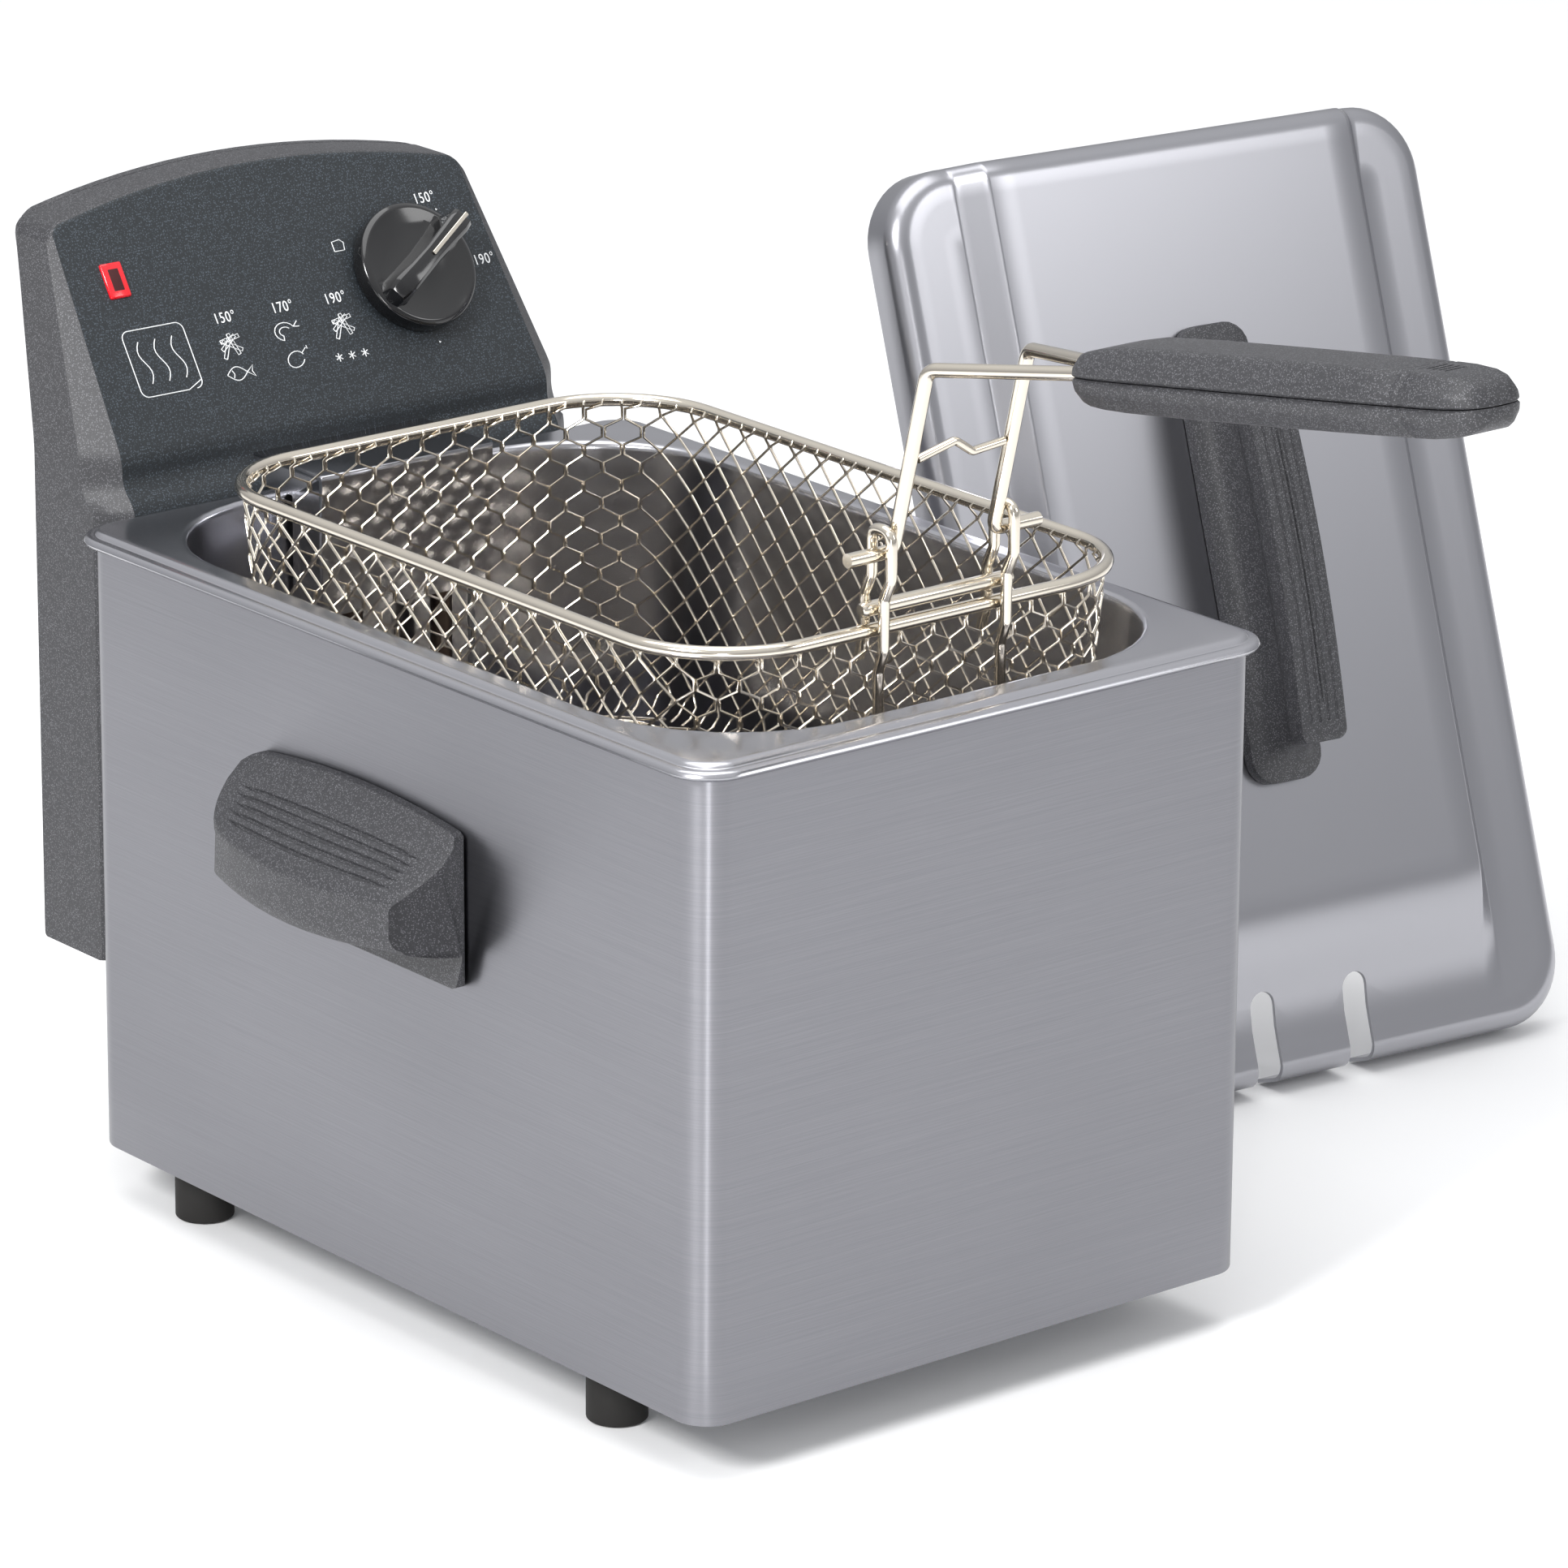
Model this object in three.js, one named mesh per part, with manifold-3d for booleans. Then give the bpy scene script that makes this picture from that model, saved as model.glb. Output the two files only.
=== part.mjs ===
// Deep fryer for the kitchen counter, with its lid standing beside it.
// Millimetres, +Z up, X to the right, the front towards -Y.
// Origin: the middle of the base plate's underside.

import * as THREE from 'three';
import { mergeVertices } from 'three/addons/utils/BufferGeometryUtils.js';
import Module from 'manifold-3d';

const wasm = await Module();
wasm.setup();

// ---------------------------------------------------------------- driving dimensions

const gap = 0.3; // clearance between pieces that touch
const ringSteps = 6; // segments in each round corner of a ring

const casing = { width: 193.6, depth: 280.8, height: 180, corner: 10, wall: 1 };
const basePlate = { sheet: 1.2, skirt: 10, pad: 0.6, padInset: 36, padCorner: 8 };
const foot = { radius: 8.5, height: 17, fromSide: 15, fromFront: 55, fromRear: 33 };
const footScrew = { shank: 2, head: 4.4, headHeight: 3, length: 22, recess: 4.2 };

const grip = {
  length: 100, height: 47.5, reach: 26, endReach: 21, plate: 3.5, bottom: casing.height - 84, middle: 8,
};
const gripScrew = { shank: 1.6, head: 3.6, headHeight: 2.2, bite: 10, spacing: 60, up: 31 };
const rail = { width: 12, neck: 6, flange: 1.2, depth: 3.2, spacing: 120, bottom: 60, fromTop: 10 };

const bowl = {
  lip: 3, lipHeight: 1.7, plateRise: 3.5, wall: 1, sideFlange: 7.3, frontFlange: 8.9, rearFlange: 5.9,
  corner: 48.7, draft: 5.5, under: 32, floorRound: 12,
};

const head = {
  standOff: 3.9, sideInset: 12.2, faceInset: 8.5, chamfer: 9, bottom: 48, ledge: 4, overhang: 6.3,
  ledgeRise: 6, bendRise: 17.6, faceRise: 59.5, faceLean: 39.5, taper: 10.8, faceTaper: 3.8,
  depth: 41, topDepth: 19, crown: 8, wall: 3, cover: 3, backRound: 8, topRound: 6,
};
const headScrew = {
  shank: 1.5, head: 3.2, headHeight: 2, boss: 4.2, bite: 9, lowInset: 13.5, up: 16, highInset: 5.8,
    down: 23,
};
const knobSize = { fromEdge: 34.1, up: 39.3, radius: 19.5, skirt: 5, bar: 9, barLength: 35, height: 16,
  turned: -58 };
const shaftSize = { radius: 3, inKnob: 8, inBody: 5 };
const pointer = { width: 1.6, length: 20, sheet: 1 };
const thermostat = { radius: 15, length: 12, screwSpacing: 26, screw: 1.5, screwHead: 2.8, screwBite: 5 };
const lamp = { fromEdge: 18.6, up: 52.7, width: 7.2, height: 10.8, proud: 0.9, body: 12 };
const resetPin = { x: 30, up: 52, radius: 3, flange: 4.6, proud: 3, travel: 2.5, inside: 6 };
const cutout = { radius: 9, length: 10 };
const gland = { x: -30, up: 30, radius: 5, flange: 8, bore: 3.4, flangeDepth: 3 };
const terminal = { width: 36, depth: 13, height: 12, belowBend: 45.6, bore: 2 };
const microswitch = { width: 20, depth: 7, height: 11, up: 24, plunger: 2 };

const element = { radius: 3.25, aboveFloor: 10, fromWall: 11.5, fromSide: 29.5, inner: 22, riser: 16,
  frontRun: 34, turn: 10 };
const elementBracket = { width: 61, sheet: 1.4, apron: 33, front: 17.5, reach: 6 };
const bulb = { radius: 3, length: 80, aboveElement: 10, capillary: 1, sideStep: 14, middle: 30 };
const clip = { width: 6, wall: 2.2, y: -4 };

const basket = {
  side: 9, front: 11.8, rear: 21.2, rimWire: 2, rise: 18.5, depth: 91, wall: 1.6, taper: 7, corner: 33,
  floorRound: 8, baseWire: 1.5, baseInset: 12,
};
const bracket = { wire: 1.6, top: 24, lean: 2.8, tail: 60, crossbar: 2.1, crossbarOver: 3.2, crossRise: 6 };
const handle = {
  wire: 2, leg: 17.3, pin: 33, pinRise: 21.5, legForward: 13, legRise: 52, armForward: 46.5, armRise: 7,
  armHalf: 5.5, intoGrip: 70, bend: 5, pinBend: 3, spacerWire: 1.2, spacerUp: 26,
};
const hold = { length: 148, width: 27, height: 18, slope: 8.8, overlap: 2 };
const holdScrew = { shank: 1.5, head: 3, headHeight: 2, near: 36, far: 112, bite: 5.5, recess: 3 };

const lid = {
  overWidth: 2.4, overLength: 5.4, skirt: 15, sheet: 1.2, corner: 22, round: 6, raise: 8.4, margin: 24,
  bevel: 8, slotWidth: 9, slotLength: 28, lean: 19.5, turn: -5.6, standGap: 49, fadeFrom: 14, fadeTo: 54,
};
const lidWidth = casing.width + lid.overWidth;
const lidLength = casing.depth + lid.overLength;
const lidGrip = { length: 139, offCentre: 15, width: 26, cap: 17, neck: 11, height: 29,
  endHeight: 25, pad: 4, capDepth: 8, capInset: 10.5 };
const lidScrew = { shank: 1.6, head: 3.8, headHeight: 2, bite: 12, spacing: 90 };

// ---------------------------------------------------------------- finishes

const finish = (color, roughness, metalness) => ({ color, roughness, metalness });
const brushed = finish('#a9a9ad', 0.35, 1);
const sheetSteel = finish('#8d8e91', 0.45, 1);
const chromeWire = finish('#d6cfc4', 0.15, 1);
const charcoal = finish('#3a3a3c', 0.7, 0);
const panelBlack = finish('#2a3034', 0.6, 0);
const glossBlack = finish('#111214', 0.2, 0);
const rubber = finish('#151310', 0.85, 0);
const redLens = finish('#e2061a', 0.25, 0);
const cream = finish('#d8d2c2', 0.6, 0);
const copperRed = finish('#9a5b3c', 0.4, 1);

// ---------------------------------------------------------------- geometry helpers

const vec = (x, y, z) => new THREE.Vector3(x, y, z);

/** A closed mesh with merged corners and its faces pointing out. */
function tidy(geometry) {
  const bare = geometry.clone();
  for (const name of Object.keys(bare.attributes)) {
    if (name !== 'position') bare.deleteAttribute(name);
  }
  const merged = mergeVertices(bare, 1e-4);
  const at = merged.attributes.position;
  const index = merged.index.array;
  const [a, b, c] = [vec(0, 0, 0), vec(0, 0, 0), vec(0, 0, 0)];
  let volume = 0;
  for (let i = 0; i < index.length; i += 3) {
    a.fromBufferAttribute(at, index[i]);
    b.fromBufferAttribute(at, index[i + 1]);
    c.fromBufferAttribute(at, index[i + 2]);
    volume += a.dot(b.cross(c));
  }
  if (volume < 0) {
    for (let i = 0; i < index.length; i += 3) [index[i], index[i + 1]] = [index[i + 1], index[i]];
  }
  return merged;
}

function toSolid(geometry) {
  const merged = tidy(geometry);
  return new wasm.Manifold(new wasm.Mesh({
    numProp: 3,
    vertProperties: new Float32Array(merged.attributes.position.array),
    triVerts: new Uint32Array(merged.index.array),
  }));
}

function fromSolid(solid) {
  const mesh = solid.getMesh();
  const geometry = new THREE.BufferGeometry();
  geometry.setAttribute('position', new THREE.BufferAttribute(mesh.vertProperties, 3));
  geometry.setIndex(new THREE.BufferAttribute(mesh.triVerts, 1));
  return geometry;
}

const join = (...parts) => fromSolid(parts.map(toSolid).reduce((whole, part) => whole.add(part)));
const cut = (whole, ...tools) => fromSolid(tools.map(toSolid).reduce((rest, tool) => rest.subtract(tool),
  toSolid(whole)));
const common = (a, b) => fromSolid(toSolid(a).intersect(toSolid(b)));

function block(x0, x1, y0, y1, z0, z1) {
  return new THREE.BoxGeometry(x1 - x0, y1 - y0, z1 - z0).translate((x0 + x1) / 2, (y0 + y1) / 2,
    (z0 + z1) / 2);
}

/** A round bar between two points. */
function rod(from, to, radius, sides = 16) {
  const along = to.clone().sub(from);
  const turn = new THREE.Quaternion().setFromUnitVectors(vec(0, 1, 0), along.clone().normalize());
  const middle = from.clone().add(to).multiplyScalar(0.5);
  return new THREE.CylinderGeometry(radius, radius, along.length(), sides).applyQuaternion(turn)
    .translate(middle.x, middle.y, middle.z);
}

/** A turned piece about Z from a profile of [radius, z] pairs that closes on itself or on the axis. */
function turned(profile, segments = 16) {
  return new THREE.LatheGeometry(profile.map(([r, z]) => new THREE.Vector2(r, z)),
    segments).rotateX(Math.PI / 2);
}

/** A closed outline of [x, y] pairs, pushed up by height. */
function slab(points, height) {
  const shape = new THREE.Shape(points.map(([x, y]) => new THREE.Vector2(x, y)));
  return new THREE.ExtrudeGeometry(shape, { depth: height, bevelEnabled: false });
}

/** An outline of [y, z] pairs, pushed along X between two places. */
function sideSlab(points, x0, x1) {
  return slab(points, x1 - x0).applyMatrix4(
    new THREE.Matrix4().set(0, 0, 1, x0, 1, 0, 0, 0, 0, 1, 0, 0, 0, 0, 0, 1));
}

/** A rounded rectangle at one height, as points that run anticlockwise seen from above. */
function ring(halfX, halfY, corner, z, middleY = 0) {
  const points = [];
  const radius = Math.max(corner, 0.5);
  for (const [sx, sy, start] of [[1, -1, -90], [1, 1, 0], [-1, 1, 90], [-1, -1, 180]]) {
    for (let i = 0; i <= ringSteps; i += 1) {
      const angle = THREE.MathUtils.degToRad(start + (90 * i) / ringSteps);
      const x = sx * (halfX - radius) + radius * Math.cos(angle);
      const y = middleY + sy * (halfY - radius) + radius * Math.sin(angle);
      points.push(vec(x, y, z));
    }
  }
  return points;
}

/** Skins a run of rings. The ends are filled, or the last ring joins the first. */
function skin(rings, closed = false) {
  const count = rings[0].length;
  const positions = rings.flat().flatMap((p) => [p.x, p.y, p.z]);
  const index = [];
  const bands = closed ? rings.length : rings.length - 1;
  for (let k = 0; k < bands; k += 1) {
    const low = k * count;
    const high = ((k + 1) % rings.length) * count;
    for (let i = 0; i < count; i += 1) {
      const j = (i + 1) % count;
      index.push(low + i, low + j, high + j, low + i, high + j, high + i);
    }
  }
  if (!closed) {
    const last = (rings.length - 1) * count;
    for (const [first, flip] of [[0, true], [last, false]]) {
      const outline = (flip ? rings[0] : rings[rings.length - 1]);
      const middle = outline.reduce((sum, p) => sum.add(p), vec(0, 0, 0)).divideScalar(count);
      const hub = positions.length / 3;
      positions.push(middle.x, middle.y, middle.z);
      for (let i = 0; i < count; i += 1) {
        const j = (i + 1) % count;
        index.push(hub, first + (flip ? j : i), first + (flip ? i : j));
      }
    }
  }
  const geometry = new THREE.BufferGeometry();
  geometry.setAttribute('position', new THREE.Float32BufferAttribute(positions, 3));
  geometry.setIndex(index);
  return geometry;
}

/** A closed hoop of round wire that follows a rounded rectangle. */
function hoop(halfX, halfY, corner, z, middleY, radius, sides = 8) {
  const rings = [];
  for (let i = 0; i < sides; i += 1) {
    const angle = (2 * Math.PI * i) / sides;
    const out = radius * Math.cos(angle);
    rings.push(ring(halfX + out, halfY + out, corner + out, z + radius * Math.sin(angle), middleY));
  }
  return skin(rings, true);
}

/** A path that runs exactly through its own points. */
class PointPath extends THREE.Curve {
  constructor(points) {
    super();
    this.points = points;
  }

  getPoint(t) {
    return this.points[Math.round(t * (this.points.length - 1))].clone();
  }

  getPointAt(u) {
    return this.getPoint(u);
  }

  getTangentAt(u) {
    const i = Math.round(u * (this.points.length - 1));
    const before = this.points[Math.max(i - 1, 0)];
    const after = this.points[Math.min(i + 1, this.points.length - 1)];
    return after.clone().sub(before).normalize();
  }
}

/** Rounds the corners of a run of points, all by one reach or each by its own. */
function rounded(points, radius, steps = 3) {
  const path = [points[0]];
  for (let i = 1; i < points.length - 1; i += 1) {
    const back = points[i - 1].clone().sub(points[i]);
    const on = points[i + 1].clone().sub(points[i]);
    const asked = Array.isArray(radius) ? radius[i - 1] : radius;
    const reach = Math.min(asked, back.length() * 0.45, on.length() * 0.45);
    const start = points[i].clone().addScaledVector(back.normalize(), reach);
    const end = points[i].clone().addScaledVector(on.normalize(), reach);
    path.push(...new THREE.QuadraticBezierCurve3(start, points[i], end).getPoints(steps));
  }
  path.push(points[points.length - 1]);
  return path;
}

/** Round wire or tube along a run of points with rounded corners. */
function wire(points, radius, bend, sides = 8) {
  const path = rounded(points, bend);
  const section = new THREE.Shape();
  section.absarc(0, 0, radius, 0, 2 * Math.PI);
  return new THREE.ExtrudeGeometry(section, {
    extrudePath: new PointPath(path), steps: path.length - 1, curveSegments: sides / 2, bevelEnabled: false,
  });
}

/** A screw along -Z from its head: the head stands on z = 0 and the shank runs down. */
function screw(size, length) {
  const { shank, head: headRadius, headHeight } = size;
  return turned([[0, -length], [shank, -length], [shank, 0], [headRadius, 0], [headRadius, headHeight],
    [0, headHeight]], 12);
}

// ---------------------------------------------------------------- the assembly

const fryer = new THREE.Group();

function add(name, geometry, material, parent = fryer) {
  const mesh = new THREE.Mesh(tidy(geometry), new THREE.MeshStandardMaterial(material));
  mesh.name = name;
  parent.add(mesh);
  return mesh;
}

const halfW = casing.width / 2;
const halfD = casing.depth / 2;
const sides = [['left', -1], ['right', 1]];

// ---- Base: casing, plate, feet, side grips, hanger rails

function makeCasing() {
  const outline = new THREE.Shape(ring(halfW, halfD, casing.corner, 0).map((p) => new THREE.Vector2(p.x,
    p.y)));
  const inside = ring(halfW - casing.wall, halfD - casing.wall, casing.corner - casing.wall, 0);
  outline.holes.push(new THREE.Path(inside.map((p) => new THREE.Vector2(p.x, p.y))));
  const tube = new THREE.ExtrudeGeometry(outline, { depth: casing.height - gap, bevelEnabled: false });
  const holes = gripScrewPlaces().map(({ y, z }) => rod(
    vec(-halfW - 1, y, z), vec(halfW + 1, y, z), gripScrew.shank + gap, 12));
  add('outer_casing', cut(tube, ...holes), brushed);
}

function gripScrewPlaces() {
  const z = grip.bottom + gripScrew.up;
  return [-1, 1].map((end) => ({ end, y: grip.middle + (end * gripScrew.spacing) / 2, z }));
}

function footPlaces() {
  const x = halfW - foot.fromSide;
  const rows = [['front', -halfD + foot.fromFront], ['rear', halfD - foot.fromRear]];
  return rows.flatMap(([row, y]) => sides.map(([side, sign]) => ({ name: `${row}_${side}`, x: sign * x,
    y })));
}

function makeBasePlate() {
  const x = halfW - casing.wall - gap;
  const y = halfD - casing.wall - gap;
  const corner = casing.corner - casing.wall - gap;
  const { sheet, skirt } = basePlate;
  const { pad, padInset, padCorner } = basePlate;
  const pan = skin([
    ring(x, y, corner, pad), ring(x, y, corner, skirt), ring(x - sheet, y - sheet, corner - sheet, skirt),
    ring(x - sheet, y - sheet, corner - sheet, pad + sheet),
  ]);
  const embossed = (z) => ring(x - padInset, y - 2 * padInset, padCorner, z);
  const tray = join(pan, skin([embossed(0), embossed(pad + sheet / 2)]));
  const holes = footPlaces().map((p) => rod(vec(p.x, p.y, -1), vec(p.x, p.y, pad + sheet + 1),
    footScrew.shank + gap));
  add('base_plate', cut(tray, ...holes), sheetSteel);
}

function makeFeet() {
  const top = basePlate.pad - gap;
  const shoulder = -foot.height + footScrew.recess;
  const profile = [
    [footScrew.shank + gap, top], [footScrew.shank + gap, shoulder], [footScrew.head + gap, shoulder],
    [footScrew.head + gap, -foot.height], [foot.radius - 0.8, -foot.height], [foot.radius,
      -foot.height + 1.5],
    [foot.radius, top], [footScrew.shank + gap, top],
  ];
  for (const { name, x, y } of footPlaces()) {
    add(`foot_${name}`, turned(profile), rubber).position.set(x, y, 0);
    const bolt = add(`foot_screw_${name}`, screw(footScrew, footScrew.length), sheetSteel);
    bolt.position.set(x, y, shoulder - gap);
    bolt.rotation.x = Math.PI;
  }
}

/** The left grip, with its back on x = 0 and its reach towards -X. */
function gripBody() {
  const { height, reach, endReach, plate, length } = grip;
  const section = [
    [0, 0], [-plate, 0], [-plate, 10], [-plate - 1.5, 17], [-plate - 6.5, 21.5], [-plate - 12.5, 21],
    [-reach + 6, 17], [-reach + 4.5, 13], [-reach + 1.5, 13.5], [-reach, 16], [-reach, 25], [-reach + 1.5,
      27.5],
    [-plate - 0.5, height], [0, height],
  ];
  const body = slab(section, length).rotateX(Math.PI / 2).translate(0, length / 2, 0);
  const half = length / 2;
  const front = [];
  for (let i = 0; i <= 8; i += 1) {
    const across = (i / 8) * 2 - 1;
    front.push([-(reach - (reach - endReach) * across * across), across * (half - 6)]);
  }
  const plan = slab([[0.5, -half], [-plate - 4, -half + 1], ...front, [-plate - 4, half - 1], [0.5,
    half]], height + 2);
  return common(body, plan.translate(0, 0, -1));
}

function makeSideGrips() {
  const body = gripBody();
  for (const [side, sign] of sides) {
    const turn = sign < 0 ? 0 : Math.PI;
    const placed = body.clone().rotateZ(turn).translate(sign * (halfW + gap), grip.middle, grip.bottom);
    const bore = gripScrewPlaces().map(({ y, z }) => rod(
      vec(sign * halfW, y, z), vec(sign * (halfW + gap + gripScrew.bite), y, z), gripScrew.shank + gap,
        12));
    add(`side_grip_${side}`, cut(placed, ...bore), charcoal);
    for (const { end, y, z } of gripScrewPlaces()) {
      const place = end < 0 ? 'front' : 'rear';
      const bolt = add(`grip_screw_${side}_${place}`, screw(gripScrew, casing.wall + gripScrew.bite),
        sheetSteel);
      bolt.position.set(sign * (halfW - casing.wall - gap), y, z);
      bolt.rotation.y = sign < 0 ? Math.PI / 2 : -Math.PI / 2;
    }
  }
}

function makeRails() {
  const { width, neck, flange, depth } = rail;
  const length = casing.height - rail.bottom - rail.fromTop;
  const outline = [
    [-width / 2, 0], [width / 2, 0], [width / 2, flange], [neck / 2, flange], [neck / 2, depth],
      [-neck / 2, depth],
    [-neck / 2, flange], [-width / 2, flange],
  ];
  for (const [side, sign] of sides) {
    const piece = add(`hanger_rail_${side}`, slab(outline, length), sheetSteel);
    piece.position.set((sign * rail.spacing) / 2, halfD + gap, rail.bottom);
  }
}

// ---- Bowl: a deep-drawn well with a flat flange and a rolled lip

const plateTop = casing.height + bowl.plateRise;
const well = {
  halfX: halfW - bowl.sideFlange,
  halfY: halfD - (bowl.frontFlange + bowl.rearFlange) / 2,
  middleY: (bowl.frontFlange - bowl.rearFlange) / 2,
  floor: bowl.under,
};
well.front = well.middleY - well.halfY;
well.rear = well.middleY + well.halfY;

function makeBowl() {
  const { lip, lipHeight, wall, corner, draft, floorRound } = bowl;
  const at = (inset, z) => ring(well.halfX - inset, well.halfY - inset, corner - inset, z, well.middleY);
  const edge = (out, z) => ring(halfW + out, halfD + out, casing.corner + Math.max(out, -6), z);
  const wallRings = (inset, bottom, top, radius) => {
    const rings = [];
    for (const part of [0, 0.35, 0.7, 1]) {
      const angle = (part * Math.PI) / 2;
      const turnIn = radius * (1 - Math.sin(angle));
      rings.push(at(inset + draft + turnIn, bottom + radius * (1 - Math.cos(angle))));
    }
    rings.push(at(inset + 0.8, top - 4), at(inset, top - 2));
    return rings;
  };
  const outside = wallRings(-wall, well.floor - wall, plateTop - wall, floorRound + wall);
  const inside = wallRings(0, well.floor, plateTop, floorRound).reverse();
  const bead = [
    edge(-2.2, plateTop - wall), edge(-1.6, casing.height), edge(lip, casing.height), edge(lip,
      casing.height + lipHeight),
    edge(lip - 1.6, casing.height + lipHeight + 0.3), edge(lip - 2.4, plateTop),
  ];
  const shoulder = [at(-wall - 1.2, plateTop - wall)];
  const mouth = [at(-1.6, plateTop), at(-0.5, plateTop - 0.6)];
  add('bowl', skin([...outside, ...shoulder, ...bead, ...mouth, ...inside]), brushed);
}

// ---- Control unit: hollow head, back cover, heating element and what they hold

const headFront = halfD + head.standOff;
const bend = { y: headFront + head.overhang, z: casing.height + head.bendRise };
const headTop = { y: bend.y + head.faceLean, z: bend.z + head.faceRise };
const faceLean = Math.atan2(head.faceLean, head.faceRise);
const headBack = headFront + head.depth;

/** Plan sections of the head from the bottom to above the crown, as named measures. */
function headLevels() {
  const side = halfW - head.sideInset;
  const face = side - head.faceInset;
  const low = { side, face, chamfer: head.chamfer, back: headBack };
  const ledge = casing.height + head.ledge;
  const levels = [
    { z: head.bottom, front: headFront, ...low },
    { z: ledge, front: headFront, ...low },
    { z: ledge + head.ledgeRise, front: bend.y, ...low },
    { z: bend.z, front: bend.y, ...low },
    {
      z: headTop.z, front: headTop.y, side: side - head.taper, face: face - head.faceTaper,
      chamfer: 1, back: headTop.y + head.topDepth,
    },
  ];
  const [under, top] = levels.slice(-2);
  const more = (head.crown + 6) / head.faceRise;
  const above = Object.fromEntries(Object.keys(top).map((key) => [key,
    top[key] + (top[key] - under[key]) * more]));
  return [...levels, { ...above, chamfer: top.chamfer }];
}

/** The head's outer form, its faces moved in by inset and its back moved in by backInset. */
function headForm(inset, backInset, floorInset = inset) {
  const rings = headLevels().map((level, number) => {
    const side = level.side - inset;
    const face = Math.min(level.face - inset * 0.6, side - 0.4);
    const front = level.front + inset;
    const back = level.back - backInset;
    const round = head.backRound;
    const z = number === 0 ? level.z + floorInset : level.z;
    const half = [
      [face, front], [side, front + level.chamfer], [side, back - round],
      [side - 0.3 * round, back - 0.3 * round], [side - round, back],
    ];
    return [...half, ...half.slice().reverse().map(([x, y]) => [-x, y])].map(([x, y]) => vec(x, y, z));
  });
  return skin(rings);
}

/** Everything under the crowned top, lowered by drop. */
function crownLimit(drop) {
  const side = halfW - head.sideInset;
  const corner = side - head.taper;
  const { topRound, crown } = head;
  const leanIn = (head.taper / head.faceRise) * topRound;
  const outline = [[side + 9, 0], [side + 9, bend.z - 8], [corner + leanIn, headTop.z - topRound - drop]];
  const curve = new THREE.QuadraticBezierCurve(
    new THREE.Vector2(corner + leanIn, headTop.z - topRound - drop), new THREE.Vector2(corner,
      headTop.z - drop),
    new THREE.Vector2(corner - topRound, headTop.z - drop + 1.2));
  const right = [...outline, ...curve.getPoints(4).slice(1).map((p) => [p.x, p.y])];
  for (let i = 7; i >= 1; i -= 1) {
    const part = i / 8;
    const rise = crown * (1 - part * part) + 1.2 * part * part;
    right.push([(corner - topRound) * part, headTop.z - drop + rise]);
  }
  const points = [...right, [0, headTop.z - drop + crown], ...right.slice().reverse().map(([x, y]) => [-x,
    y])];
  return slab(points, 260).rotateX(Math.PI / 2).translate(0, headBack + 130, 0);
}

const panel = new THREE.Group();
panel.position.set(0, bend.y, bend.z);
panel.rotation.x = Math.PI / 2 - faceLean;
panel.updateMatrix();
const onPanel = (geometry) => geometry.applyMatrix4(panel.matrix);
const wallThrough = head.wall * Math.cos(faceLean); // the panel's thickness along its normal

const headSide = halfW - head.sideInset;
const panelEdge = headSide - head.faceInset;
const knobX = panelEdge - knobSize.fromEdge;
const lampX = lamp.fromEdge - panelEdge;
const resetZ = head.bottom + resetPin.up;
const glandZ = head.bottom + gland.up;
const switchZ = head.bottom + microswitch.up;
const headScrewPlaces = [
  ['low', headSide - headScrew.lowInset, head.bottom + headScrew.up],
  ['high', headSide - head.taper - headScrew.highInset, headTop.z - headScrew.down],
].flatMap(([row, x, z]) => sides.map(([side, sign]) => (
  { name: `${row}_${side}`, x: sign * x, z, back: backAt(z), under: z > bend.z ? 1.4 : 0 })));

/** Where the head's back face lies at a height. */
function backAt(z) {
  const part = Math.max(0, (z - bend.z) / head.faceRise);
  return headBack + part * (headTop.y + head.topDepth - headBack);
}

const elementOuter = well.halfX - element.fromSide;
const bulbX = (elementOuter + element.inner) / 2;
const elementZ = well.floor + element.aboveFloor;
const riserY = well.rear - element.fromWall;
const riserTop = plateTop + gap + element.radius + gap;
const bracketTop = riserTop + element.radius + gap + elementBracket.sheet;

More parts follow.
